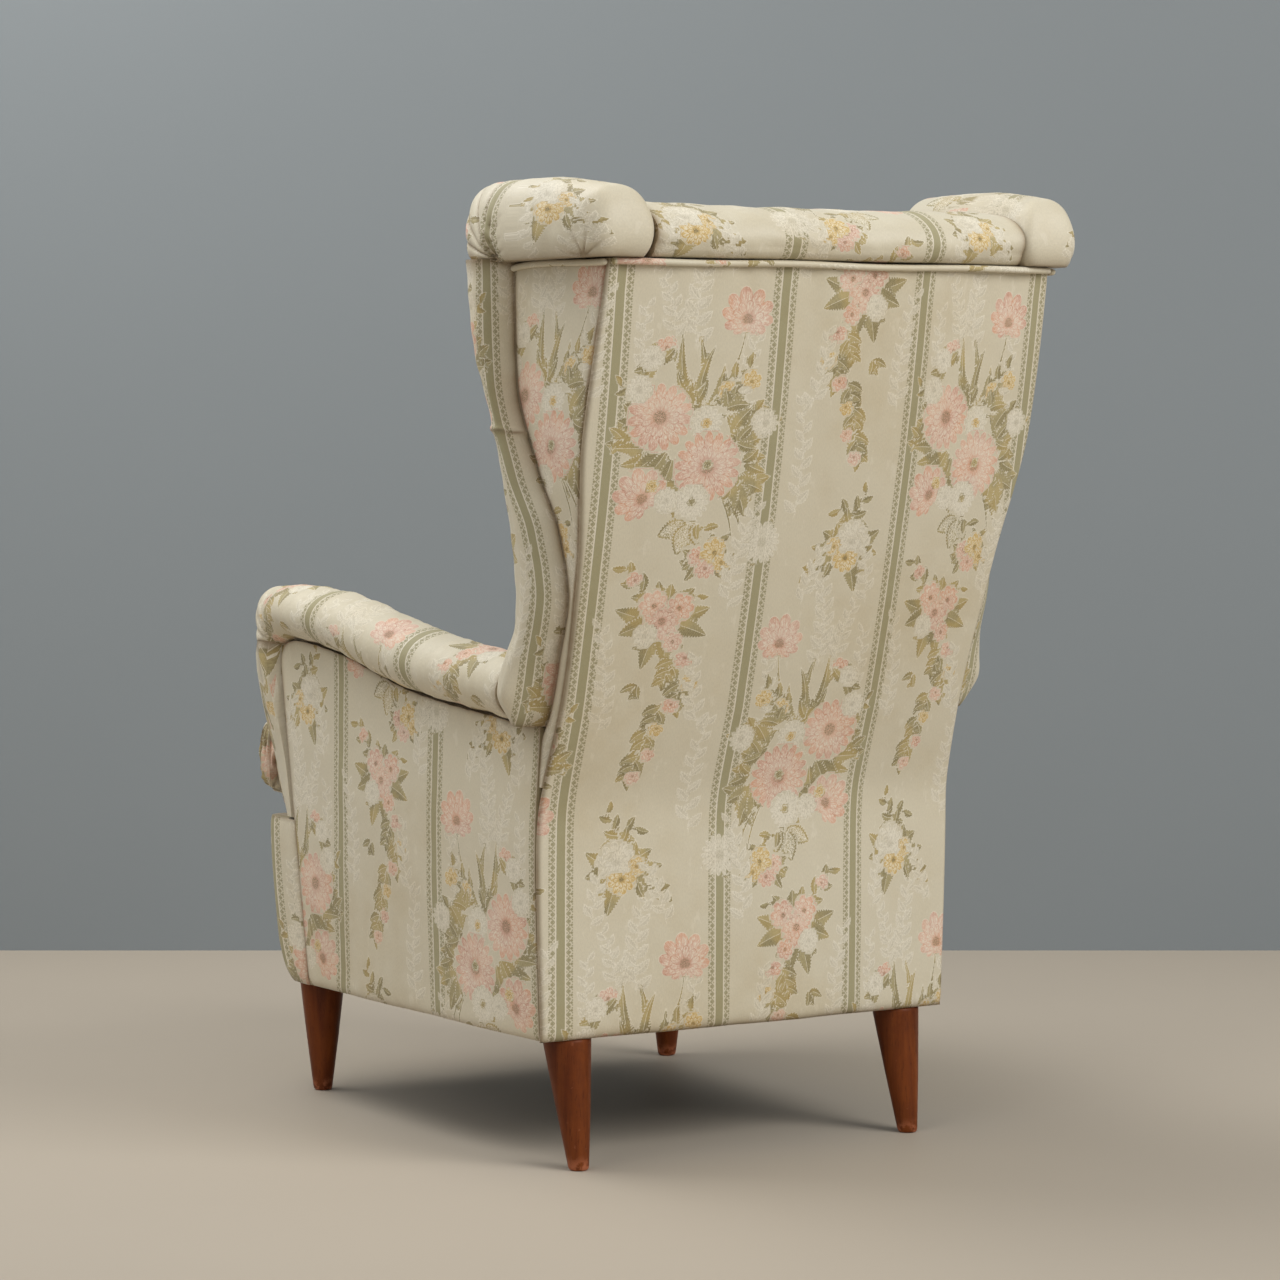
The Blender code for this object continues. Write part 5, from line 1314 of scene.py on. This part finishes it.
def figures_group():
    """Petals and veins inside one woven figure, from its own coordinates in millimetres.

    A flower's rim and inner petals are cosines of the angle, and its threads run outward. A leaf's edge is a power
    of a sine along it, with a light midrib and side veins. Distance is negative inside.
    """
    g, start = group("Woven figure", {"Figure": None, "Size": None}, ("Distance", "Light", "Heart", "Edge"))
    x, y, coarse = g.split(start["Figure"])
    length, count, _ = g.split(start["Size"])
    whole = g.abs(length)
    flower = g.math("GREATER_THAN", count, 0.0)
    r, angle = g.length(x, y), g.math("ARCTAN2", y, x)
    q = g.div(r, whole)
    half_turn = g.mul(g.mul(angle, count), 0.5)
    lobe = g.abs(g.math("COSINE", half_turn))
    rim = g.mad(g.pow(lobe, FLOWER_EDGE), 0.30, 0.72)
    petals = g.mul(g.sub(q, rim), whole)
    lobe_in = g.abs(g.math("COSINE", g.add(half_turn, 1.2)))
    rim_in = g.mad(g.pow(lobe_in, FLOWER_EDGE), 0.24, 0.36)
    inner = g.mul(g.abs(g.sub(q, rim_in)), whole)
    outer_lines = g.mul(g.fall(lobe, 0.0, 0.30), g.ramp(q, 0.55, 0.75))
    inner_lines = g.mul(g.fall(lobe_in, 0.0, 0.25), g.fall(q, 0.20, 0.60))
    lines = g.top(outer_lines, g.top(g.fall(inner, 0.25, 0.75), inner_lines))
    ray = g.join(g.mul(g.mul(angle, whole), 1.1), g.mul(r, 0.20), length)
    threads = g.ramp(g.noise(ray, 1.0, 2.0, 0.7), 0.36, 0.64)
    body = g.mul(g.ramp(q, 0.12, 0.42), g.fall(q, 0.62, 1.0, 0.25))
    flower_light = g.sub(g.mad(threads, 0.66, g.mul(body, 0.46)), g.mul(lines, 0.75), clamp=True)
    dots = g.noise(g.join(x, y, length), 1.3, 0.0)
    heart = g.mul(g.fall(q, 0.17, 0.24), g.ramp(dots, 0.47, 0.55))

    width = g.mul(count, -1.0)
    t = g.div(x, whole, clamp=True)
    sine = g.sin(g.mul(g.pow(t, LEAF_TIP_POWER), math.pi))
    half = g.mul(g.pow(g.top(sine, 0.0), LEAF_EDGE_POWER), g.mul(width, 0.5))
    teeth = g.mad(g.sin(g.mul(x, 1.9)), 0.14, 1.0)
    side = g.abs(y)
    blade = g.top(g.sub(side, g.mul(half, teeth)), g.top(g.mul(x, -1.0), g.sub(x, whole)))
    rib = g.mul(g.fall(side, 0.15, 0.50), g.ramp(width, 5.0, 9.0))
    slope = g.sub(x, g.mul(side, 1.4))
    vein = g.mul(g.ramp(g.sin(g.mul(slope, 2.1)), 0.55, 0.95), g.ramp(width, 7.0, 10.0))
    shade = g.mad(g.ramp(y, -0.5, 0.5), 0.28, 0.16)
    leaf_light = g.top(shade, g.top(rib, g.mul(vein, 0.62)))
    hollow = g.mul(g.math("LESS_THAN", length, 0.0), g.fall(g.sub(side, half), -2.6, -2.0))
    leaf_light = g.top(leaf_light, g.mul(hollow, g.ramp(dots, 0.42, 0.50)))

    def choose(for_leaf, for_flower):
        return g.mad(flower, g.sub(for_flower, for_leaf), for_leaf)

    distance = g.top(choose(blade, petals), g.sub(coarse, 1.1))
    edge = g.top(g.ramp(distance, -1.1, -0.6), choose(rib, threads))
    return g.end(Distance=distance, Light=choose(leaf_light, flower_light), Heart=g.mul(heart, flower),
                 Edge=edge)


def lace_group():
    """Stripe and the lace beside it: Across is the distance from the stripe's middle and Along the height, in mm.

    The lace repeats chevrons with a spot in each, and smaller spots that make its edge scalloped.
    """
    g, start = group("Stripe and lace", {"Across": 0.0, "Along": 0.0}, ("Stripe", "Lace", "Line"))
    half_beat = 4.25
    off, beat = start["Across"], g.math("PINGPONG", start["Along"], half_beat)
    chevron = g.abs(g.sub(off, g.mad(beat, 0.95, 6.9)))
    shapes = g.fall(chevron, 0.45, 0.95)
    spots = ((10.0, 0.0, 1.75), (12.8, half_beat, 1.5), (13.6, 1.6, 0.75), (7.4, half_beat, 0.7))
    for across, height, radius in spots:
        r = g.length(g.sub(off, across), g.sub(beat, height))
        shapes = g.top(shapes, g.fall(r, radius - 0.3, radius + 0.3))
    lace = g.mul(shapes, g.mul(g.ramp(off, 6.3, 6.7), g.fall(off, 14.2, 14.8)))
    line = g.mul(g.ramp(off, 4.9, 5.2), g.fall(off, 6.0, 6.4))
    return g.end(Lace=lace, Stripe=g.fall(off, 4.7, 5.1), Line=line)


def brocade_look(colours, weave, age):
    """Ivory satin with olive stripes edged in lace, and figures in olive, rose, ochre and ivory."""
    made, g, shader = new_look("worn_brocade")
    cloth = g.stored("cloth")["Vector"]
    threads = g.stored("threads")
    # The third value is the painted shade, with some dirt, in seams, creases and folds
    u, v, shade_and_grime = g.split(cloth)
    cream = rgba(colours.cream)
    thread = g.noise(g.stretch(cloth, 760, 300, 0), 1.0, 2.0, 0.6)
    jag = g.mul(g.sub(thread, 0.5), 1.8)
    drawn = g.use(figures_group(), Figure=g.stored("figure")["Vector"], Size=g.stored("size")["Vector"])
    distance = g.add(drawn["Distance"], jag)
    light = g.mad(g.sub(thread, 0.5), 1.1, drawn["Light"], clamp=True)
    off = g.mul(g.math("PINGPONG", u, STRIPE_PITCH / 2), MM)
    band = g.use(lace_group(), Across=g.mad(jag, 0.35, off), Along=g.mul(v, MM))

    # Ground, lace and stripe
    ground = g.mix(g.ramp(thread, 0.3, 0.7), rgba(colours.ground, 0.95), rgba(colours.ground, 1.02))
    shadow_twig = g.noise(g.stretch(cloth, 60, 24, 0), 1.0, 4.0, 0.7)
    ground = g.mix(g.mul(g.ramp(shadow_twig, 0.60, 0.66), 0.25), ground, cream)
    colour = g.mix(g.mul(band["Lace"], 0.82), ground, rgba(colours.olive, 0.92))
    pale_olive = rgba([0.5 * a + 0.5 * b for a, b in zip(colours.olive, colours.ground)])
    twill = g.ramp(g.sin(g.mul(g.add(u, v), 3700.0)), -0.4, 0.4)
    stripe = g.mix(g.mad(twill, 0.35, g.mul(thread, 0.35)), rgba(colours.olive), pale_olive)
    colour = g.mix(band["Stripe"], colour, stripe)
    colour = g.mix(g.mul(band["Line"], 0.6), colour, cream)
    plain = g.ramp(threads["Alpha"], CLASS_LOW, CLASS_HIGH)
    halo = g.mul(g.ramp(distance, 0.4, 1.3, 0.62, 0.0), g.fall(threads["Alpha"], CLASS_LOW, CLASS_HIGH, 0.25))
    colour = g.mix(halo, colour, cream)

    # Figures in four classes of thread
    cast = g.noise(g.stretch(cloth, 30, 26, 0), 1.0, 1.0)
    leaf_shade = g.mix(g.ramp(cast, 0.45, 0.60), rgba(colours.leaf_dark), rgba(colours.leaf_gold))
    leaf_thread = g.mix(light, leaf_shade, rgba(colours.leaf_light))
    leaf_thread = g.mix(g.ramp(light, 0.80, 0.98), leaf_thread, cream)
    rose_shade = g.mix(g.ramp(cast, 0.42, 0.58), rgba(colours.rose), rgba(colours.salmon))
    rose = g.mix(light, rose_shade, rgba(colours.pale_rose))
    faded = g.ramp(g.noise(g.stretch(cloth, 19, 23, 0), 1.0, 1.0), 0.40, 0.62)
    rose = g.mix(g.mul(faded, 0.30), rose, g.mix(light, rgba(colours.pale_rose), cream))
    rose = g.mix(g.ramp(light, 0.72, 1.0, 0.0, 0.8), rose, cream)
    gold = g.mix(light, rgba(colours.ochre), rgba(colours.pale_gold))
    gold = g.mix(g.ramp(light, 0.65, 1.0, 0.0, 0.8), gold, cream)
    lit = g.mul(g.top(drawn["Edge"], light), g.ramp(thread, 0.28, 0.52))
    figure = g.mix(lit, rgba(colours.ground, 0.86), rgba(colours.cream, 1.03))
    weights = g.node("ShaderNodeSeparateColor", {0: threads["Color"]}).outputs
    for weight, tint in zip(weights, (leaf_thread, rose, gold)):
        figure = g.mix(g.ramp(weight, CLASS_LOW, CLASS_HIGH), figure, tint)
    heart = g.mul(drawn["Heart"], g.mad(plain, -0.6, 0.85))
    figure = g.mix(heart, figure, rgba(colours.leaf_dark, 0.9))
    mask = g.fall(distance, -0.25, 0.25)
    colour = g.mix(g.mul(mask, g.mad(plain, -0.12, 0.93)), colour, figure)
    raised = g.top(g.mul(mask, g.mad(light, 0.5, 0.5)), g.top(band["Lace"], band["Stripe"]))

    # Wear, and painted shade with dirt in seams and folds
    worn = g.use(age, Place=g.place(), Scale=3.5)
    colour = g.mix(g.mul(worn["Soil"], 0.45), colour, g.mix(1.0, colour, rgba(colours.soil), "MULTIPLY"))
    # Painted shade: seams, creases and fold valleys are darkened toward the dark tint, with some dirt there too
    crevice_shade_and_grime = g.mul(shade_and_grime, g.mad(worn["Fine"], 0.6, 0.45), clamp=True)
    colour = g.mix(crevice_shade_and_grime, colour, g.mix(1.0, colour, rgba(colours.shade_and_grime), "MULTIPLY"))
    woven = g.use(weave, Cloth=cloth, Pitch=0.0011)
    height = g.mad(raised, 0.9, g.mul(woven["Height"], 0.45))
    g.feed_all(shader, {"Base Color": colour, "Roughness": g.mad(raised, 0.22, 0.46), "Sheen Weight": 0.10,
                        "Sheen Roughness": 0.5, "Specular IOR Level": 0.35, "Normal": g.bump(0.5, 0.0005, height)})
    return made


def wood_look(name, dark, light, rough, grain, age, worn_edges):
    """Beech: grain between two browns, darker pores, and dull scuffs toward the foot where asked."""
    made, g, shader = new_look(name)
    place = g.place()
    lines, soil = g.use(grain, Place=place, Scale=75.0), g.use(age, Place=place, Scale=14.0)
    colour = g.mix(lines["Grain"], rgba(dark), rgba(light))
    colour = g.mix(g.mul(lines["Pores"], 0.35), colour, rgba(dark, 0.35))
    if worn_edges:
        low = g.mul(g.fall(g.split(place)[2], 0.001, 0.020), g.ramp(soil["Fine"], 0.40, 0.60))
        scuff = g.top(g.mul(low, 0.75), g.mul(g.ramp(soil["Fine"], 0.66, 0.72), 0.30))
        colour = g.mix(scuff, colour, rgba(light, 2.0, 0.06))
    height = g.mad(lines["Pores"], -0.6, lines["Grain"])
    g.feed_all(shader, {"Base Color": g.mix(g.mul(soil["Soil"], 0.35), colour, rgba(dark, 0.6)),
                        "Roughness": g.mad(soil["Fine"], 0.25, rough - 0.1), "Specular IOR Level": 0.18,
                        "Normal": g.bump(0.35, 0.0003, height)})
    return made


def plain_cloth_look(name, tint, weave, age, pitch):
    """Plain woven cloth on Object coordinates, with fleck and dust."""
    made, g, shader = new_look(name)
    place = g.place()
    woven, soil = g.use(weave, Cloth=place, Pitch=pitch), g.use(age, Place=place)
    colour = g.mix(woven["Fleck"], rgba(tint, 0.6), rgba(tint, 1.5))
    g.feed_all(shader, {"Base Color": g.mix(g.mul(soil["Soil"], 0.5), colour, rgba(tint, lift=0.10)),
                        "Roughness": 0.85, "Normal": g.bump(0.6, 0.0005, woven["Height"])})
    return made


def steel_look(age):
    """Plain steel with dull patches."""
    made, g, shader = new_look("dull_steel")
    soil = g.use(age, Place=g.place(), Scale=60.0)
    g.feed_all(shader, {"Base Color": g.mix(soil["Soil"], (0.50, 0.49, 0.47, 1.0), (0.22, 0.19, 0.16, 1.0)),
                        "Roughness": g.mad(soil["Fine"], 0.3, 0.3), "Metallic": 1.0})
    return made


def stage_look(name, tint, rough):
    """Floor or wall in one mottled tint, seen only from its front."""
    made, g, shader = new_look(name)
    colour = g.mix(g.noise(g.place(), 1.6, 4.0), rgba(tint, 0.97), rgba(tint, 1.03))
    behind = g.node("ShaderNodeNewGeometry", {}).outputs["Backfacing"]
    g.feed_all(shader, {"Base Color": colour, "Alpha": g.sub(1.0, behind), "Roughness": rough,
                        "Specular IOR Level": 0.1})
    return made


# Sizes, colours and operators

def colour_property(name, description, default):
    return bpy.props.FloatVectorProperty(name=name, description=description, default=default,
                                         subtype="COLOR", size=3, min=0.0, max=1.0)


def length_property(name, description, default, low):
    return bpy.props.FloatProperty(name=name, description=description, default=default, min=low, unit="LENGTH")


class ChairSizes(bpy.types.PropertyGroup):
    """Sizes that a user of the chair would change."""
    fine_step: length_property("Fine step", "Point spacing on the covers seen first", 0.0026, 0.001)
    coarse_step: length_property("Coarse step", "Point spacing on the other covers", 0.0042, 0.001)
    welt_radius: length_property("Welt radius", "Radius of the piping", 0.0036, 0.001)
    pucker: length_property("Pucker", "Depth of the puckers under the back's welt", 0.0011, 0.0)


class ChairColours(bpy.types.PropertyGroup):
    """Colours of cloth, wood and stage."""
    ground: colour_property("Ground", "Ivory ground of the brocade", (0.665, 0.60, 0.45))
    cream: colour_property("Cream", "Lightest threads", (0.83, 0.77, 0.635))
    olive: colour_property("Olive", "Stripes and lace", (0.32, 0.285, 0.145))
    leaf_dark: colour_property("Leaf, dark", "Shaded half of the leaves", (0.200, 0.160, 0.060))
    leaf_gold: colour_property("Leaf, gold", "Ochre cast on some leaves", (0.38, 0.27, 0.075))
    leaf_light: colour_property("Leaf, light", "Veins and light threads of the leaves", (0.58, 0.49, 0.26))
    rose: colour_property("Rose", "Dark threads of the pink flowers", (0.54, 0.25, 0.17))
    salmon: colour_property("Salmon", "Warmer cast of some pink flowers", (0.66, 0.31, 0.17))
    pale_rose: colour_property("Pale rose", "Light threads of the pink flowers", (0.78, 0.54, 0.41))
    ochre: colour_property("Ochre", "Dark threads of the yellow flowers", (0.52, 0.31, 0.075))
    pale_gold: colour_property("Pale gold", "Light threads of the yellow flowers", (0.78, 0.61, 0.27))
    soil: colour_property("Soil", "Tint that old dirt gives the cloth", (0.80, 0.71, 0.55))
    # Tint of the painted shade, with some dirt, in seams, creases and folds
    shade_and_grime: colour_property("Grime", "Tint of the dirt in seams and folds", (0.34, 0.24, 0.15))
    wood_dark: colour_property("Leg, dark", "Dark grain of the stained legs", (0.085, 0.015, 0.0025))
    wood_light: colour_property("Leg, light", "Light grain of the stained legs", (0.215, 0.052, 0.008))
    floor: colour_property("Floor", "Pale floor", (0.470, 0.408, 0.327))
    backdrop: colour_property("Backdrop", "Grey-blue wall", (0.240, 0.262, 0.271))


LOOKS = {}


def look(name):
    """A material by name, made with all the others when one is first asked for."""
    if not LOOKS:
        colours = bpy.context.scene.chair_colours
        weave, age, grain = weave_group(), age_group(), grain_group()
        LOOKS.update({
            "brocade": brocade_look(colours, weave, age),
            "stained_beech": wood_look("stained_beech_worn", colours.wood_dark, colours.wood_light, 0.38,
                                       grain, age, True),
            "raw_beech": wood_look("raw_beech_sawn", (0.42, 0.28, 0.16), (0.66, 0.49, 0.31), 0.7,
                                   grain, age, False),
            "lining": plain_cloth_look("black_lining_cloth", (0.035, 0.035, 0.037), weave, age, 0.0014),
            "webbing": plain_cloth_look("rubber_webbing", (0.12, 0.085, 0.05), weave, age, 0.0030),
            "steel": steel_look(age),
        })
    return LOOKS[name]


HIDDEN_LOOKS = (("bolt", "steel"), ("strap", "webbing"), ("under_cover", "lining"), ("rail", "raw_beech"),
                ("post", "raw_beech"), ("board", "raw_beech"), ("block", "raw_beech"))


class CHAIR_OT_frame(bpy.types.Operator):
    """Finish the beech frame, webbing, bolts and lining that the covers hide"""
    bl_idname = "chair.frame"
    bl_label = "Frame"

    def execute(self, context):
        for name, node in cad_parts.items():
            kind = next((kind for word, kind in HIDDEN_LOOKS if word in name), None)
            if kind:
                node.data.materials.clear()
                node.data.materials.append(look(kind))
        return {"FINISHED"}


class CHAIR_OT_legs(bpy.types.Operator):
    """Turn the four tapered legs"""
    bl_idname = "chair.legs"
    bl_label = "Legs"

    def execute(self, context):
        for sign, side in ((1, "left"), (-1, "right")):
            for row, x, y, rake in LEGS:
                make_leg(look("stained_beech"), f"turned_leg_{row}_{side}", sign * x, y, rake,
                         f"leg_{row}_{side}")
        return {"FINISHED"}


class CHAIR_OT_outer_covers(bpy.types.Operator):
    """Stretch the outer back, the outer wings and the outer arms"""
    bl_idname = "chair.outer_covers"
    bl_label = "Outer covers"

    def execute(self, context):
        sizes = context.scene.chair_sizes
        make_outer_back(sizes, look("brocade"))
        for sign in (1, -1):
            make_outer_wing(sizes, look("brocade"), sign)
            make_outer_arm(sizes, look("brocade"), sign)
        return {"FINISHED"}


class CHAIR_OT_arms(bpy.types.Operator):
    """Stuff the arm rolls and their pleated fronts"""
    bl_idname = "chair.arms"
    bl_label = "Arms"

    def execute(self, context):
        sizes = context.scene.chair_sizes
        for sign in (1, -1):
            make_arm_pad(sizes, look("brocade"), sign)
        return {"FINISHED"}


class CHAIR_OT_wings(bpy.types.Operator):
    """Stuff the wings and their gathered crowns"""
    bl_idname = "chair.wings"
    bl_label = "Wings"

    def execute(self, context):
        sizes = context.scene.chair_sizes
        for sign in (1, -1):
            make_wing_pad(sizes, look("brocade"), sign)
            make_wing_crown(sizes, look("brocade"), sign)
        return {"FINISHED"}


class CHAIR_OT_back_and_seat(bpy.types.Operator):
    """Stuff the inside back with its top roll, the deck, the cushion and the apron"""
    bl_idname = "chair.back_and_seat"
    bl_label = "Back and seat"

    def execute(self, context):
        sizes = context.scene.chair_sizes
        make_inside_back(sizes, look("brocade"))
        make_seat_deck(look("brocade"))
        make_cushion(sizes, look("brocade"))
        make_apron(sizes, look("brocade"))
        return {"FINISHED"}


class CHAIR_OT_piping(bpy.types.Operator):
    """Sew the welts along the top edges"""
    bl_idname = "chair.piping"
    bl_label = "Piping"

    def execute(self, context):
        sizes = context.scene.chair_sizes
        make_piping(sizes, look("brocade"))
        return {"FINISHED"}


class CHAIR_OT_stage(bpy.types.Operator):
    """Set up the floor, backdrop, soft light and camera"""
    bl_idname = "chair.stage"
    bl_label = "Stage"

    def execute(self, context):
        scene = context.scene
        colours = scene.chair_colours
        turn = math.radians(CAMERA_TURN)
        across = np.array((math.cos(turn), math.sin(turn)))
        wall_at = np.array((-across[1], across[0])) * WALL_DISTANCE
        ends = ((-ROOM_HALF, 0.0), (ROOM_HALF, 0.0), (ROOM_HALF, WALL_HEIGHT), (-ROOM_HALF, WALL_HEIGHT))
        wall = [(*(wall_at + across * s).tolist(), z) for s, z in ends]
        floor = [(x * ROOM_HALF, y * ROOM_HALF, 0.0) for x, y in ((-1, -1), (1, -1), (1, 1), (-1, 1))]
        for name, corners, tint, rough in (("floor", floor, colours.floor, 0.55),
                                           ("backdrop", wall, colours.backdrop, 0.9)):
            mesh = bpy.data.meshes.new(name)
            mesh.from_pydata(corners, [], [(0, 1, 2, 3)])
            finished(name, mesh, stage_look(name + "_paint", tuple(tint), rough))
        for name, place, power, width in LAMPS:
            lamp = bpy.data.lights.new(name, "AREA")
            lamp.energy, lamp.size, lamp.shape = power, width, "SQUARE"
            x, y, z = np.array((0.0, 0.0, AIM_Z)) - np.array(place)
            tilt = math.acos(-z / math.hypot(x, y, z))
            linked(name, lamp, place, (tilt, 0.0, math.atan2(y, x) - math.pi / 2))
        world = bpy.data.worlds.new("studio")
        world.use_nodes = True
        background = world.node_tree.nodes["Background"].inputs
        background["Color"].default_value = (0.95, 0.97, 1.0, 1.0)
        background["Strength"].default_value = 0.50
        scene.world = world
        scene.view_settings.view_transform = "Standard"
        camera = bpy.data.cameras.new("camera")
        camera.lens, camera.sensor_width = CAMERA_LENS, 36.0
        place = (CAMERA_PLACE[0], CAMERA_PLACE[1] + REAR_Y, CAMERA_PLACE[2])
        scene.camera = linked("camera", camera, place, (math.radians(CAMERA_TILT), 0.0, turn))
        return {"FINISHED"}


OPERATORS = (CHAIR_OT_frame, CHAIR_OT_legs, CHAIR_OT_outer_covers, CHAIR_OT_arms, CHAIR_OT_wings,
             CHAIR_OT_back_and_seat, CHAIR_OT_piping, CHAIR_OT_stage)


class CHAIR_PT_panel(bpy.types.Panel):
    """Sizes, colours and steps of the armchair"""
    bl_label = "Armchair"
    bl_idname = "CHAIR_PT_panel"
    bl_space_type = "VIEW_3D"
    bl_region_type = "UI"
    bl_category = "Armchair"

    def draw(self, context):
        for settings in (context.scene.chair_sizes, context.scene.chair_colours):
            for key in settings.__annotations__:
                self.layout.prop(settings, key)
        for operator in OPERATORS:
            self.layout.operator(operator.bl_idname)


CLASSES = (ChairSizes, ChairColours, *OPERATORS, CHAIR_PT_panel)


def register():
    for cls in CLASSES:
        bpy.utils.register_class(cls)
    bpy.types.Scene.chair_sizes = bpy.props.PointerProperty(type=ChairSizes)
    bpy.types.Scene.chair_colours = bpy.props.PointerProperty(type=ChairColours)


def unregister():
    del bpy.types.Scene.chair_colours
    del bpy.types.Scene.chair_sizes
    for cls in reversed(CLASSES):
        bpy.utils.unregister_class(cls)


def main():
    register()
    for operator in OPERATORS:
        getattr(bpy.ops.chair, operator.bl_idname.split(".")[1])()


if __name__ == "__main__":
    main()
